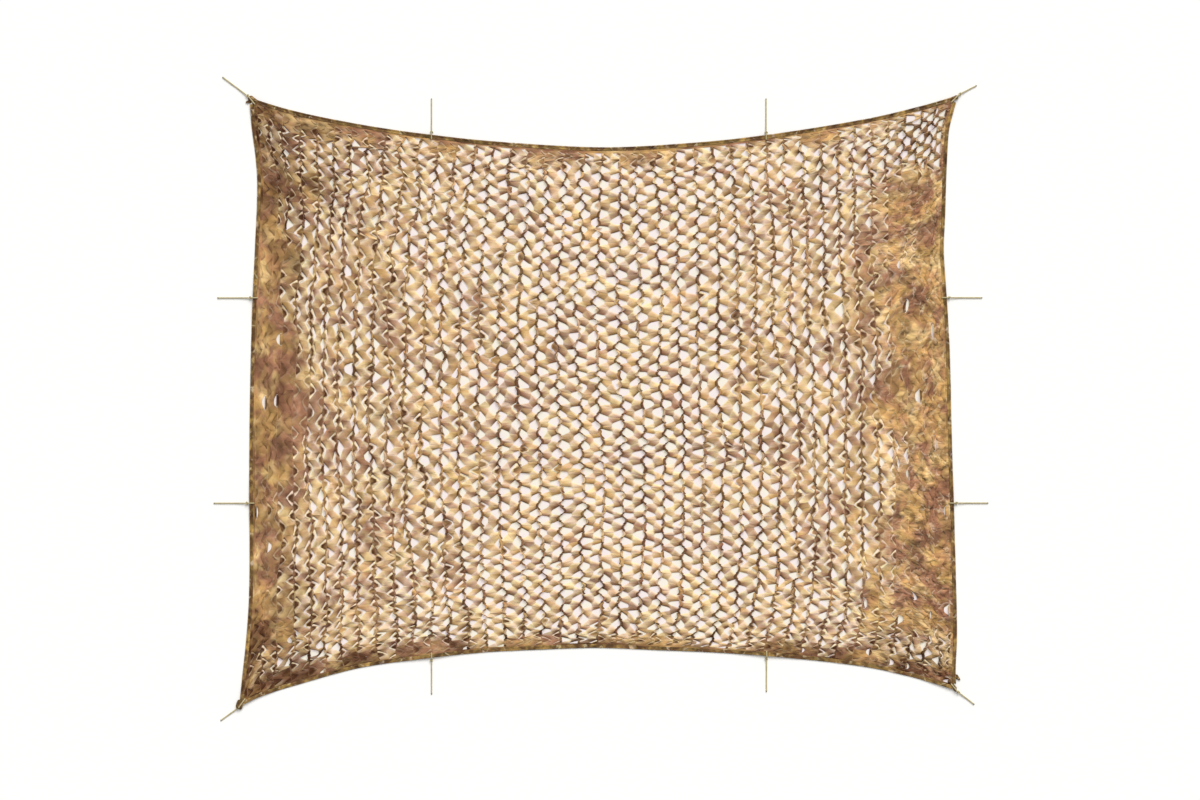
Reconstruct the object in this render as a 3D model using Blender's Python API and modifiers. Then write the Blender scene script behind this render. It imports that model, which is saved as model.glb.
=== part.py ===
# Camouflage netting of slit, printed cloth, laid face up on the ground.
#
# One sheet of cloth is slit in offset rows and pulled open into a net. A folded binding is sewn over
# each of its four edges, and twelve short tie cords are hitched round the binding: one at each corner
# and two along each side. +X runs to the right edge, +Y to the top edge and +Z up from the ground.
# The origin is on the ground, under the middle of the bound cloth. Sizes are in metres.

import math

import bmesh
import bpy
from mathutils import Matrix, Vector
from mathutils.geometry import intersect_line_line

# Outline of the bound cloth
CORNERS = {
    "top_left": Vector((-1.996, 1.734)),
    "top_right": Vector((2.053, 1.746)),
    "bottom_left": Vector((-2.053, -1.746)),
    "bottom_right": Vector((2.044, -1.654)),
}
UP = Vector((0.0, 1.0))
RIGHT = Vector((1.0, 0.0))
EDGES = {
    # edge: first corner, last corner, inward
    "top": ("top_left", "top_right", -UP),
    "bottom": ("bottom_left", "bottom_right", UP),
    "left": ("top_left", "bottom_left", RIGHT),
    "right": ("top_right", "bottom_right", -RIGHT),
}
BOWS = {
    # edge: (share of its length, how far it bows inward there), and so on along it
    "top": (
        (0.0, 0.0), (0.05, 0.063), (0.12, 0.127), (0.20, 0.184), (0.30, 0.236), (0.40, 0.271), (0.50, 0.290),
        (0.58, 0.278), (0.68, 0.246), (0.78, 0.193), (0.88, 0.124), (0.95, 0.057), (1.0, 0.0),
    ),
    "bottom": (
        (0.0, 0.0), (0.03, 0.055), (0.10, 0.138), (0.165, 0.203), (0.23, 0.238), (0.33, 0.275), (0.43, 0.287),
        (0.50, 0.289), (0.57, 0.272), (0.67, 0.245), (0.77, 0.205), (0.87, 0.148), (0.935, 0.085), (1.0, 0.0),
    ),
    "left": (
        (0.0, 0.0), (0.05, 0.016), (0.10, 0.041), (0.15, 0.053), (0.25, 0.045), (0.37, 0.034), (0.50, 0.031),
        (0.62, 0.034), (0.74, 0.043), (0.82, 0.044), (0.89, 0.032), (0.95, 0.013), (1.0, 0.0),
    ),
    "right": (
        (0.0, 0.0), (0.03, 0.028), (0.06, 0.051), (0.12, 0.063), (0.20, 0.071), (0.26, 0.078), (0.33, 0.064),
        (0.43, 0.043), (0.56, 0.031), (0.70, 0.016), (0.82, 0.003), (0.91, -0.003), (0.965, 0.005), (1.0, 0.0),
    ),
}

# Net: columns and rows of slits in the cloth, and how they spread when it is pulled open
COLUMNS = 40
ROWS = 36
MIDDLE_WIDENING = 0.18  # share by which the middle columns are wider than the average
MIDDLE_PLACE = 0.54  # share of the width where the rows are evenly spaced
SIDE_STRETCH = 0.24  # share by which the rows are taller at the middle of the sides
LOW_TIGHTNESS = 0.030  # how far the rows are pushed down towards the bottom edge

# Sheet: built in cells of 2 x 2 slits inside a narrow margin
CELL = 2
CELLS_ACROSS = COLUMNS // CELL
CELLS_DOWN = ROWS // CELL
CLOTH_THICKNESS = 0.0025
SEAT_INSET = 0.012  # the sheet's cut edge, inside the binding's fold
MARGIN_INSET = 0.040  # inner line of the margin
FLAT_BELOW = 0.0006  # folds lower than this lie flat on the ground

# The largest gaps: one in each cell inside this ellipse, as shares of a cell from its lower left
OPEN_MIDDLE = (9.6, 9.0)
OPEN_REACH = (5.2, 7.2)
GAP = {
    # corner of the cell: across, up
    (0, 0): (0.05, 0.56),
    (1, 0): (0.26, 0.68),
    (1, 1): (0.26, 0.82),
    (0, 1): (0.05, 0.94),
}

# Folds of the sheet as it lies
FOLDS = (
    # start x, start y, end x, end y, height, half width
    (-1.90, 1.55, -1.20, 0.95, 0.012, 0.13),  # gathers from the top left corner
    (-1.76, 0.90, -1.72, -1.30, 0.007, 0.10),  # left margin
    (1.62, 1.10, 1.56, -1.05, 0.007, 0.11),  # right margin, inner
    (1.86, 0.80, 1.84, -1.10, 0.009, 0.09),  # right margin, outer
    (-1.35, -0.40, 0.70, -0.44, 0.006, 0.12),  # creased row below the middle
    (-1.20, 0.60, 1.10, 0.63, 0.004, 0.12),  # creased row above the middle
    (-1.85, -1.45, -1.35, -1.10, 0.009, 0.12),  # bottom left corner
    (1.85, -1.40, 1.40, -1.10, 0.008, 0.12),  # bottom right corner
    (1.85, 1.50, 1.45, 1.15, 0.008, 0.12),  # top right corner
)

# Binding: a fold of cloth with the sheet's edge inside it
BINDING_WIDTH = 0.022
BINDING_HEIGHT = 0.0067
BINDING_BEVEL = 0.0016
GAP_BETWEEN = 0.0003
LIP = 0.0018  # thickness of the fold's lower half
LIFT_AT_TIE = 0.0088  # the edge is lifted by the cord that passes under it

# Ties
CORD_RADIUS = 0.0040
HITCH_INSET = 0.0272  # where the cord goes down through the margin
HOLE_RADIUS = 0.0048
KNOT_SIZE = (0.0094, 0.0104, 0.0080)  # half sizes: along the cord, across it, up
KNOT_OUT = 0.0098  # knot's middle, out from the loop
TIE_STEP = 0.0120
TIE_DROP = 0.060  # length over which a cord comes down to the ground
SIDE_TIES = {
    # name: edge, station, share of the edge, cord length
    "top_1": ("top", 5, 0.257, 0.184),
    "top_2": ("top", 15, 0.729, 0.185),
    "bottom_1": ("bottom", 5, 0.268, 0.187),
    "bottom_2": ("bottom", 15, 0.735, 0.182),
    "left_1": ("left", 6, 0.329, 0.179),
    "left_2": ("left", 12, 0.666, 0.181),
    "right_1": ("right", 6, 0.340, 0.181),
    "right_2": ("right", 12, 0.685, 0.174),
}
CORNER_TIES = {
    # corner: direction out of the corner, cord length
    "top_left": (Vector((-0.80, 0.60)), 0.171),
    "top_right": (Vector((0.89, 0.46)), 0.098),
    "bottom_left": (Vector((-0.81, -0.59)), 0.112),
    "bottom_right": (Vector((0.79, -0.61)), 0.107),
}

COLOURS = {
    # finish: red, green, blue, roughness
    "printed_cloth": (0.42, 0.27, 0.13, 0.85),
    "binding_cloth": (0.24, 0.16, 0.08, 0.85),
    "cord": (0.50, 0.40, 0.26, 0.80),
}


def slope(profile, k):
    """Steepness of a profile at one of its points, from the points on either side."""
    x0, y0 = profile[max(0, k - 1)]
    x1, y1 = profile[min(len(profile) - 1, k + 1)]
    return (y1 - y0) / (x1 - x0)


def bow(edge, along):
    """How far an edge bows inward at a share of its length: a smooth curve through its profile."""
    profile = BOWS[edge]
    k = 0
    while k < len(profile) - 2 and along > profile[k + 1][0]:
        k += 1
    (x0, y0), (x1, y1) = profile[k : k + 2]
    run = x1 - x0
    t = (along - x0) / run
    bend = y0 * (1.0 + 2.0 * t) * (1.0 - t) ** 2 + y1 * t * t * (3.0 - 2.0 * t)
    return bend + run * t * (1.0 - t) * (slope(profile, k) * (1.0 - t) - slope(profile, k + 1) * t)


def edge_point(edge, along, inset=0.0):
    """A point in plan on an edge, or a distance inside it."""
    first, last, inward = EDGES[edge]
    chord = CORNERS[first].lerp(CORNERS[last], along)
    return chord + inward * (bow(edge, along) + inset)


def edge_length(edge):
    first, last = EDGES[edge][:2]
    return (CORNERS[last] - CORNERS[first]).length


def interpolate(value, pairs):
    """Read a value from straight lines between (place, value) pairs."""
    for (x0, y0), (x1, y1) in zip(pairs, pairs[1:]):
        if value <= x1:
            return y0 + (y1 - y0) * (value - x0) / (x1 - x0)
    return pairs[-1][1]


def stations(edge):
    """Shares of the edge's length where its sections lie, even between the ties."""
    cells = CELLS_ACROSS if edge in ("top", "bottom") else CELLS_DOWN
    ties = [(station, share) for name, station, share, _ in SIDE_TIES.values() if name == edge]
    pairs = [(0, 0.0)] + sorted(ties) + [(cells, 1.0)]
    margin = MARGIN_INSET / edge_length(edge)
    inner = [interpolate(station, pairs) for station in range(1, cells)]
    return [0.0, margin] + inner + [1.0 - margin, 1.0]


def edge_lifts(edge):
    """Height of the binding's underside at each station: it rides up over the ties."""
    count = len(stations(edge))
    lifts = [0.0] * count
    for place in (0, 1, count - 2, count - 1):
        lifts[place] = LIFT_AT_TIE
    for name, station, _, _ in SIDE_TIES.values():
        if name == edge:
            lifts[station + 1] = LIFT_AT_TIE
    return lifts


def patch(across, down):
    """A point of the smooth patch between the four edges."""
    sideways = edge_point("left", down).lerp(edge_point("right", down), across)
    lengthways = edge_point("top", across).lerp(edge_point("bottom", across), down)
    top = CORNERS["top_left"].lerp(CORNERS["top_right"], across)
    bottom = CORNERS["bottom_left"].lerp(CORNERS["bottom_right"], across)
    return sideways + lengthways - top.lerp(bottom, down)


def slit_place(column, row):
    """Where a column and row of slits lie once the cloth is pulled open."""
    s = column / COLUMNS
    t = row / ROWS
    side = (MIDDLE_PLACE - s) / MIDDLE_PLACE if s < MIDDLE_PLACE else (s - MIDDLE_PLACE) / (1.0 - MIDDLE_PLACE)
    stretch = SIDE_STRETCH * (1.0 - (1.0 - side) ** 1.6)
    widening = MIDDLE_WIDENING * math.sqrt(max(0.0, math.sin(math.pi * t)))
    across = s - widening * math.sin(2.0 * math.pi * s) / (2.0 * math.pi)
    down = t - stretch * math.sin(2.0 * math.pi * t) / (2.0 * math.pi)
    down += LOW_TIGHTNESS * math.sin(math.pi * t) * (1.0 - side)
    return patch(across, down)


def fold_height(point):
    """Height of the sheet's underside where it doesn't lie flat."""
    height = 0.0
    for x0, y0, x1, y1, top, half_width in FOLDS:
        start = Vector((x0, y0))
        run = Vector((x1, y1)) - start
        share = min(1.0, max(0.0, (point - start).dot(run) / run.length_squared))
        distance = (point - start - run * share).length
        height += top * math.exp(-((distance / half_width) ** 2))
    return height if height > FLAT_BELOW else 0.0


def corner_cross(side, side_inset, end, end_inset):
    """Where a line inside a side edge meets a line inside the top or bottom edge, near their corner."""
    lines = []
    for edge, inset, other in ((side, side_inset, end), (end, end_inset, side)):
        first = EDGES[edge][0]
        from_first = first in EDGES[other][:2]
        near, far = stations(edge)[:2] if from_first else stations(edge)[:-3:-1]
        lines += [edge_point(edge, near, inset).to_3d(), edge_point(edge, far, inset).to_3d()]
    return intersect_line_line(*lines)[0].to_2d()


def sheet_nodes():
    """The sheet's grid of points: two margin lines at each edge, and a line for each cell between."""
    last_i = CELLS_ACROSS + 2
    last_j = CELLS_DOWN + 2
    insets = {0: SEAT_INSET, 1: MARGIN_INSET}
    seat = LIP + GAP_BETWEEN
    plan = {}
    height = {}
    for i in range(last_i + 1):
        for j in range(last_j + 1):
            side = "left" if i <= 1 else "right" if i >= last_i - 1 else None
            end = "top" if j <= 1 else "bottom" if j >= last_j - 1 else None
            height[i, j] = LIFT_AT_TIE + seat
            if side and end:
                if i in (0, last_i) and j in (0, last_j):
                    plan[i, j] = corner_cross(side, SEAT_INSET, end, SEAT_INSET)
                elif i in (0, last_i):
                    plan[i, j] = edge_point(side, stations(side)[j], SEAT_INSET)
                elif j in (0, last_j):
                    plan[i, j] = edge_point(end, stations(end)[i], SEAT_INSET)
            elif side:
                plan[i, j] = edge_point(side, stations(side)[j], insets[min(i, last_i - i)])
                height[i, j] = edge_lifts(side)[j] + seat
            elif end:
                plan[i, j] = edge_point(end, stations(end)[i], insets[min(j, last_j - j)])
                height[i, j] = edge_lifts(end)[i] + seat
            else:
                plan[i, j] = slit_place(CELL * (i - 1), CELL * (j - 1))
                height[i, j] = fold_height(plan[i, j])
    for i, far_i in ((1, 0), (last_i - 1, last_i)):
        for j, far_j in ((1, 0), (last_j - 1, last_j)):
            plan[i, j] = plan[i, far_j] + plan[far_i, j] - plan[far_i, far_j]
    return {key: Vector((place.x, place.y, height[key])) for key, place in plan.items()}


def has_gap(i, j):
    """Whether the cell between grid lines i, i + 1 and j, j + 1 holds one of the largest gaps."""
    across = (i - 0.5 - OPEN_MIDDLE[0]) / OPEN_REACH[0]
    down = (j - 0.5 - OPEN_MIDDLE[1]) / OPEN_REACH[1]
    return across ** 2 + down ** 2 < 1.0


def make_collections():
    parts = bpy.data.collections.new("Camouflage netting")
    cutters = bpy.data.collections.new("Cutters")
    bpy.context.scene.collection.children.link(parts)
    bpy.context.scene.collection.children.link(cutters)
    return parts, cutters


def finish_material(finish):
    red, green, blue, roughness = COLOURS[finish]
    material = bpy.data.materials.get(finish) or bpy.data.materials.new(finish)
    material.use_nodes = True
    shader = material.node_tree.nodes["Principled BSDF"]
    shader.inputs["Base Color"].default_value = (red, green, blue, 1.0)
    shader.inputs["Roughness"].default_value = roughness
    shader.inputs["Metallic"].default_value = 0.0
    return material


def mesh_object(name, bm, collection, finish):
    mesh = bpy.data.meshes.new(name)
    bm.to_mesh(mesh)
    bm.free()
    mesh.materials.append(finish_material(finish))
    piece = bpy.data.objects.new(name, mesh)
    collection.objects.link(piece)
    return piece


def mark_cutter(piece):
    piece.hide_render = True
    piece.display_type = "WIRE"


def hitch_places():
    """Plan points of each hitch: down through the sheet, outside the binding, and the cord's direction."""
    places = {}
    for name, (edge, _, share, length) in SIDE_TIES.items():
        outward = -EDGES[edge][2]
        inner = edge_point(edge, share, HITCH_INSET)
        outer = edge_point(edge, share, -CORD_RADIUS - 2.0 * GAP_BETWEEN)
        places[name] = (inner, outer, outward, length)
    for corner, (direction, length) in CORNER_TIES.items():
        end, side = corner.split("_")
        inner = corner_cross(side, HITCH_INSET + 0.001, end, HITCH_INSET + 0.001)
        outward = (CORNERS[corner] - inner).normalized()
        outer = CORNERS[corner] + outward * (CORD_RADIUS + 2.0 * GAP_BETWEEN)
        places[corner] = (inner, outer, direction.normalized(), length)
    return places


def add_sheet(parts, cutters):
    """The slit cloth: a grid moved to its place, with the largest gaps cut out, then given its thickness."""
    nodes = sheet_nodes()
    across = CELLS_ACROSS + 2
    down = CELLS_DOWN + 2
    bm = bmesh.new()
    to_indices = Matrix.Translation((across / 2.0, down / 2.0, 0.0)) @ Matrix.Diagonal((across, down, 1.0, 1.0))
    bmesh.ops.create_grid(bm, x_segments=across, y_segments=down, size=0.5, matrix=to_indices)

    gaps = []
    for face in bm.faces:
        middle = face.calc_center_median()
        i = int(middle.x)
        j = down - 1 - int(middle.y)
        if has_gap(i, j):
            gaps.append((face, int(middle.x), int(middle.y)))
    bmesh.ops.inset_individual(bm, faces=[face for face, _, _ in gaps], thickness=0.2)
    for face, low_x, low_y in gaps:
        for vert in face.verts:
            corner = (int(vert.co.x > low_x + 0.5), int(vert.co.y > low_y + 0.5))
            vert.co.x = low_x + GAP[corner][0]
            vert.co.y = low_y + GAP[corner][1]
    bmesh.ops.delete(bm, geom=[face for face, _, _ in gaps], context="FACES")

    for vert in bm.verts:
        i = min(across - 1, int(vert.co.x + 1e-6))
        k = min(down - 1, int(vert.co.y + 1e-6))
        part_x = vert.co.x - i
        part_y = vert.co.y - k
        j = down - k
        low = nodes[i, j].lerp(nodes[i + 1, j], part_x)
        high = nodes[i, j - 1].lerp(nodes[i + 1, j - 1], part_x)
        vert.co = low.lerp(high, part_y)

    sheet = mesh_object("net_panel", bm, parts, "printed_cloth")
    solid = sheet.modifiers.new("Cloth thickness", "SOLIDIFY")
    solid.thickness = CLOTH_THICKNESS
    solid.offset = 1.0

    bm = bmesh.new()
    for inner, _, _, _ in hitch_places().values():
        bmesh.ops.create_cone(
            bm, cap_ends=True, segments=10, radius1=HOLE_RADIUS, radius2=HOLE_RADIUS, depth=0.06,
            matrix=Matrix.Translation((inner.x, inner.y, 0.0)),
        )
    holes = mesh_object("tie_holes", bm, cutters, "cord")
    mark_cutter(holes)
    cut = sheet.modifiers.new("Holes for the ties", "BOOLEAN")
    cut.operation = "DIFFERENCE"
    cut.solver = "EXACT"
    cut.object = holes
    return sheet


def binding_section():
    """Section of the folded binding: inset from the edge, height. Its fold holds the sheet's edge."""
    slot_end = SEAT_INSET - GAP_BETWEEN
    slot_top = LIP + 2.0 * GAP_BETWEEN + CLOTH_THICKNESS
    return (
        (0.0, BINDING_BEVEL),
        (BINDING_BEVEL, 0.0),
        (BINDING_WIDTH, 0.0),
        (BINDING_WIDTH, LIP),
        (slot_end, LIP),
        (slot_end, slot_top),
        (BINDING_WIDTH, slot_top),
        (BINDING_WIDTH, BINDING_HEIGHT),
        (BINDING_BEVEL, BINDING_HEIGHT),
        (0.0, BINDING_HEIGHT - BINDING_BEVEL),
    )


def add_binding(edge, parts):
    """A loft of the folded section along one edge. The side bindings stop short of the top and bottom ones."""
    shares = stations(edge)
    lifts = edge_lifts(edge)
    if edge in ("left", "right"):
        shares = shares[1:-1]
        lifts = lifts[1:-1]
    bm = bmesh.new()
    rings = []
    for share, lift in zip(shares, lifts):
        ring = []
        for inset, height in binding_section():
            place = edge_point(edge, share, inset)
            ring.append(bm.verts.new((place.x, place.y, lift + height)))
        rings.append(ring)
    for ring, following in zip(rings, rings[1:]):
        for k in range(len(ring)):
            nxt = (k + 1) % len(ring)
            bm.faces.new((ring[k], ring[nxt], following[nxt], following[k]))
    bm.faces.new(rings[0])
    bm.faces.new(reversed(rings[-1]))
    bmesh.ops.recalc_face_normals(bm, faces=bm.faces)
    return mesh_object(f"binding_{edge}", bm, parts, "binding_cloth")


def tube(name, points, collection, cyclic=False):
    """A round cord along points, as a curve with filled ends."""
    curve = bpy.data.curves.new(name, "CURVE")
    curve.dimensions = "3D"
    curve.bevel_depth = CORD_RADIUS
    curve.bevel_resolution = 2
    curve.use_fill_caps = not cyclic
    spline = curve.splines.new("POLY")
    spline.points.add(len(points) - 1)
    for point, place in zip(spline.points, points):
        point.co = (place.x, place.y, place.z, 1.0)
    spline.use_cyclic_u = cyclic
    curve.materials.append(finish_material("cord"))
    cord = bpy.data.objects.new(name, curve)
    collection.objects.link(cord)
    return cord


def as_mesh(curve_object, collection):
    """The curve's tube as a mesh object of the same name."""
    bpy.context.view_layer.update()
    evaluated = curve_object.evaluated_get(bpy.context.evaluated_depsgraph_get())
    mesh = bpy.data.meshes.new_from_object(evaluated)
    name = curve_object.name
    matrix = curve_object.matrix_world.copy()
    bpy.data.objects.remove(curve_object)
    bm = bmesh.new()
    bm.from_mesh(mesh)
    bmesh.ops.remove_doubles(bm, verts=bm.verts, dist=0.00001)
    bm.to_mesh(mesh)
    bm.free()
    piece = bpy.data.objects.new(name, mesh)
    piece.matrix_world = matrix
    collection.objects.link(piece)
    return piece


def hitch_loop(inner, outer):
    """Centre line of the cord's loop: down through the sheet, under the binding and back over it."""
    low = LIFT_AT_TIE - GAP_BETWEEN - CORD_RADIUS
    high = LIFT_AT_TIE + BINDING_HEIGHT + GAP_BETWEEN + CORD_RADIUS
    rise = (high - low) / 2.0
    middle = (high + low) / 2.0
    run = (outer - inner).normalized()
    ease = 0.42 * rise
    outline = (
        (inner, 0.0, -0.5), (inner, ease, -1.0), (outer, -ease, -1.0), (outer, 0.0, -0.5),
        (outer, 0.0, 0.5), (outer, -ease, 1.0), (inner, ease, 1.0), (inner, 0.0, 0.5),
    )
    points = []
    for place, along, height in outline:
        plan = place + run * along
        points.append(Vector((plan.x, plan.y, middle + rise * height)))
    return points


def add_hitch(name, inner, outer, direction, parts, cutters):
    """The knot outside the binding, joined with the loop round it."""
    centre = outer + direction * KNOT_OUT
    bm = bmesh.new()
    turn = Matrix.Rotation(math.atan2(direction.y, direction.x), 4, "Z")
    place = Matrix.Translation((centre.x, centre.y, KNOT_SIZE[2] + GAP_BETWEEN))
    size = Matrix.Diagonal((*KNOT_SIZE, 1.0))
    bmesh.ops.create_icosphere(bm, subdivisions=2, radius=1.0, matrix=place @ turn @ size)
    knot = mesh_object(f"hitch_{name}", bm, parts, "cord")
    loop = as_mesh(tube(f"loop_{name}", hitch_loop(inner, outer), cutters, cyclic=True), cutters)
    mark_cutter(loop)
    join = knot.modifiers.new("Loop", "BOOLEAN")
    join.operation = "UNION"
    join.solver = "EXACT"
    join.object = loop
    knot.data.shade_smooth()
    return knot


def tie_route(outer, direction, length):
    """Centre line of a tie's free end: out of the knot, down to the ground and straight out."""
    start = outer + direction * (KNOT_OUT + KNOT_SIZE[0] + GAP_BETWEEN)
    from_height = KNOT_SIZE[2]
    to_height = CORD_RADIUS + GAP_BETWEEN
    count = max(2, round(length / TIE_STEP))
    points = []
    for k in range(count + 1):
        out = length * k / count
        share = min(1.0, out / TIE_DROP)
        ease = share * share * (3.0 - 2.0 * share)
        place = start + direction * out
        points.append(Vector((place.x, place.y, from_height + (to_height - from_height) * ease)))
    return points


def main():
    for thing in list(bpy.data.objects):
        bpy.data.objects.remove(thing)
    parts, cutters = make_collections()
    add_sheet(parts, cutters)
    for edge in EDGES:
        add_binding(edge, parts)
    for name, (inner, outer, direction, length) in hitch_places().items():
        add_hitch(name, inner, outer, direction, parts, cutters)
        tube(f"tie_{name}", tie_route(outer, direction, length), parts)


main()
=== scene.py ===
import math

import bpy
import numpy as np
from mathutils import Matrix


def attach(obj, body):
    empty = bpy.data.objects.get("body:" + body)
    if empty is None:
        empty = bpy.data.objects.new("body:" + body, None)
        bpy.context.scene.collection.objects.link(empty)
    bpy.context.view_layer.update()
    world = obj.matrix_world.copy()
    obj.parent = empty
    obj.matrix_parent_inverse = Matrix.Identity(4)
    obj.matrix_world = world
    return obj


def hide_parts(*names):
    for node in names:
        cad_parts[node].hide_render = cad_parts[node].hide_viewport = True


# Camouflage netting laid out face up on a pale floor: one sheet of slit, printed cloth pulled open
# into a net, a folded binding round it and twelve short tie cords. +X is right, +Y is the top edge.

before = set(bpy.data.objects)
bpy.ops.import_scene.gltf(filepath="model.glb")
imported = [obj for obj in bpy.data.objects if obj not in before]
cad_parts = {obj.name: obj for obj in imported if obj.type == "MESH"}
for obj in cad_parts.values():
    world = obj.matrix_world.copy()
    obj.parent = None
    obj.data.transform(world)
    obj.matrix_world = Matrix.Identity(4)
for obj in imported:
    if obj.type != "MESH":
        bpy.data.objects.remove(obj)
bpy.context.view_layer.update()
print("frame loaded:", len(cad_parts), "nodes")

# camera, light and floor

stage = {
    "cameraPlace": (0.0071, 0.0057, 20.0),
    "lens": 105.0,
    "sensor": 36.0,
    "farClip": 100.0,
    "floorSize": 60.0,
    "floorDrop": 0.0004,  # keeps the floor just under the cloth
    "floorColour": (0.92, 0.92, 0.92, 1.0),
    "floorGlow": 0.09,
    "skyColour": (1.0, 0.985, 0.96, 1.0),
    "skyStrength": 0.425,
    "sunColour": (1.0, 0.985, 0.955),
    "sunStrength": 2.74,
    "sunSoftness": 38.0,  # degrees
    "sunTilt": (-44.0, 15.0, 0.0),  # degrees, so it comes from beyond the top edge
}


def addObject(name, data):
    thing = bpy.data.objects.new(name, data)
    bpy.context.scene.collection.objects.link(thing)
    return thing


def makeMaterial(name):
    material = bpy.data.materials.new(name)
    material.use_nodes = True
    return material, material.node_tree, material.node_tree.nodes["Principled BSDF"]


def setInputs(tree, node, values):
    # each value is a number, a colour or another node's output
    for key, value in values.items():
        if isinstance(value, bpy.types.NodeSocket):
            tree.links.new(value, node.inputs[key])
        else:
            node.inputs[key].default_value = value
    return node


def addCamera():
    data = bpy.data.cameras.new("camera")
    data.lens = stage["lens"]
    data.sensor_width = stage["sensor"]
    data.clip_end = stage["farClip"]
    camera = addObject("camera", data)
    camera.location = stage["cameraPlace"]
    bpy.context.scene.camera = camera


def addLight():
    scene = bpy.context.scene
    scene.view_settings.view_transform = "Standard"
    world = bpy.data.worlds.new("studio")
    world.use_nodes = True
    background = world.node_tree.nodes["Background"]
    background.inputs["Color"].default_value = stage["skyColour"]
    background.inputs["Strength"].default_value = stage["skyStrength"]
    scene.world = world
    data = bpy.data.lights.new("softbox", "SUN")
    data.energy = stage["sunStrength"]
    data.angle = math.radians(stage["sunSoftness"])
    data.color = stage["sunColour"]
    addObject("softbox", data).rotation_euler = [math.radians(tilt) for tilt in stage["sunTilt"]]


def addGround(name, corners, finish, colour, glow):
    # one flat face of floor, which isn't part of the net
    mesh = bpy.data.meshes.new(name)
    mesh.from_pydata(corners, [], [tuple(range(len(corners)))])
    material, tree, shader = makeMaterial(finish)
    setInputs(tree, shader, {
        "Base Color": colour, "Roughness": 0.9, "Specular IOR Level": 0.1,
        "Emission Color": (1.0, 1.0, 1.0, 1.0), "Emission Strength": glow,
    })
    mesh.materials.append(material)
    addObject(name, mesh)
    return tree, shader


def addFloor():
    half = stage["floorSize"] / 2.0
    low = -stage["floorDrop"]
    corners = [(-half, -half, low), (half, -half, low), (half, half, low), (-half, half, low)]
    addGround("floor", corners, "paleFloor", stage["floorColour"], stage["floorGlow"])


addCamera()
addLight()
addFloor()
print("camera, light and floor ready")

# the net's outline, repeated from the part

outline = {
    "topLeft": (-1.996, 1.734),
    "topRight": (2.053, 1.746),
    "bottomLeft": (-2.053, -1.746),
    "bottomRight": (2.044, -1.654),
}
edgeEnds = {
    # edge: first corner, last corner, inward
    "top": ("topLeft", "topRight", (0.0, -1.0)),
    "bottom": ("bottomLeft", "bottomRight", (0.0, 1.0)),
    "left": ("topLeft", "bottomLeft", (1.0, 0.0)),
    "right": ("topRight", "bottomRight", (-1.0, 0.0)),
}
bows = {
    # edge: (share of its length, how far it bows inward there), and so on along it
    "top": (
        (0.0, 0.0), (0.05, 0.063), (0.12, 0.127), (0.20, 0.184), (0.30, 0.236), (0.40, 0.271),
        (0.50, 0.290), (0.58, 0.278), (0.68, 0.246), (0.78, 0.193), (0.88, 0.124), (0.95, 0.057), (1.0, 0.0),
    ),
    "bottom": (
        (0.0, 0.0), (0.03, 0.055), (0.10, 0.138), (0.165, 0.203), (0.23, 0.238), (0.33, 0.275),
        (0.43, 0.287), (0.50, 0.289), (0.57, 0.272), (0.67, 0.245), (0.77, 0.205), (0.87, 0.148),
        (0.935, 0.085), (1.0, 0.0),
    ),
    "left": (
        (0.0, 0.0), (0.05, 0.016), (0.10, 0.041), (0.15, 0.053), (0.25, 0.045), (0.37, 0.034),
        (0.50, 0.031), (0.62, 0.034), (0.74, 0.043), (0.82, 0.044), (0.89, 0.032), (0.95, 0.013), (1.0, 0.0),
    ),
    "right": (
        (0.0, 0.0), (0.03, 0.028), (0.06, 0.051), (0.12, 0.063), (0.20, 0.071), (0.26, 0.078),
        (0.33, 0.064), (0.43, 0.043), (0.56, 0.031), (0.70, 0.016), (0.82, 0.003), (0.91, -0.003),
        (0.965, 0.005), (1.0, 0.0),
    ),
}
net = {
    "columns": 40,
    "rows": 36,
    "middleWidening": 0.18,
    "middlePlace": 0.54,
    "sideStretch": 0.24,
    "lowTightness": 0.030,
    "margin": 0.42,  # plain cloth beside the binding, in columns or rows
    "marginOut": 0.15,  # where it ends inside the binding's fold
    "flatColumn": 0.089,  # sizes of one slit's cell in the flat cloth
    "flatRow": 0.111,
}
sideTies = {
    # name: edge, station, share of the edge, cord length
    "top_1": ("top", 5, 0.257, 0.184),
    "top_2": ("top", 15, 0.729, 0.185),
    "bottom_1": ("bottom", 5, 0.268, 0.187),
    "bottom_2": ("bottom", 15, 0.735, 0.182),
    "left_1": ("left", 6, 0.329, 0.179),
    "left_2": ("left", 12, 0.666, 0.181),
    "right_1": ("right", 6, 0.340, 0.181),
    "right_2": ("right", 12, 0.685, 0.174),
}
cornerTies = {
    # corner: outline corner, direction out of it, cord length
    "top_left": ("topLeft", (-0.80, 0.60), 0.171),
    "top_right": ("topRight", (0.89, 0.46), 0.098),
    "bottom_left": ("bottomLeft", (-0.81, -0.59), 0.112),
    "bottom_right": ("bottomRight", (0.79, -0.61), 0.107),
}
hem = {
    "height": 0.0067,
    "gap": 0.0003,
    "liftAtTie": 0.0088,
    "marginInset": 0.040,
    "step": 0.008,
    "puckerLength": 0.0131,
    "stitchInset": 0.0178,
    "stitchStep": 0.0065,
    "stitchLength": 0.0044,
    "stitchRadius": 0.00042,
    "stitchHeight": 0.0051,
}


def lerp(low, high, share):
    return low + (high - low) * share


def smooth(value):
    value = np.clip(value, 0.0, 1.0)
    return value * value * (3.0 - 2.0 * value)


def ramp(value, start, width):
    # 0 up to the start, 1 from a width past it
    return smooth((value - start) / width)


def vary(least, more, luck):
    # many values here are a pair: the least, and how much more luck may add
    return least + more * luck


def falloff(distance, reach):
    # 1 at no distance, and about a third at its reach
    return np.exp(-((distance / reach) ** 2))


def plan(x, y):
    return np.stack(np.broadcast_arrays(np.asarray(x, float), np.asarray(y, float)), axis=-1)


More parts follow.
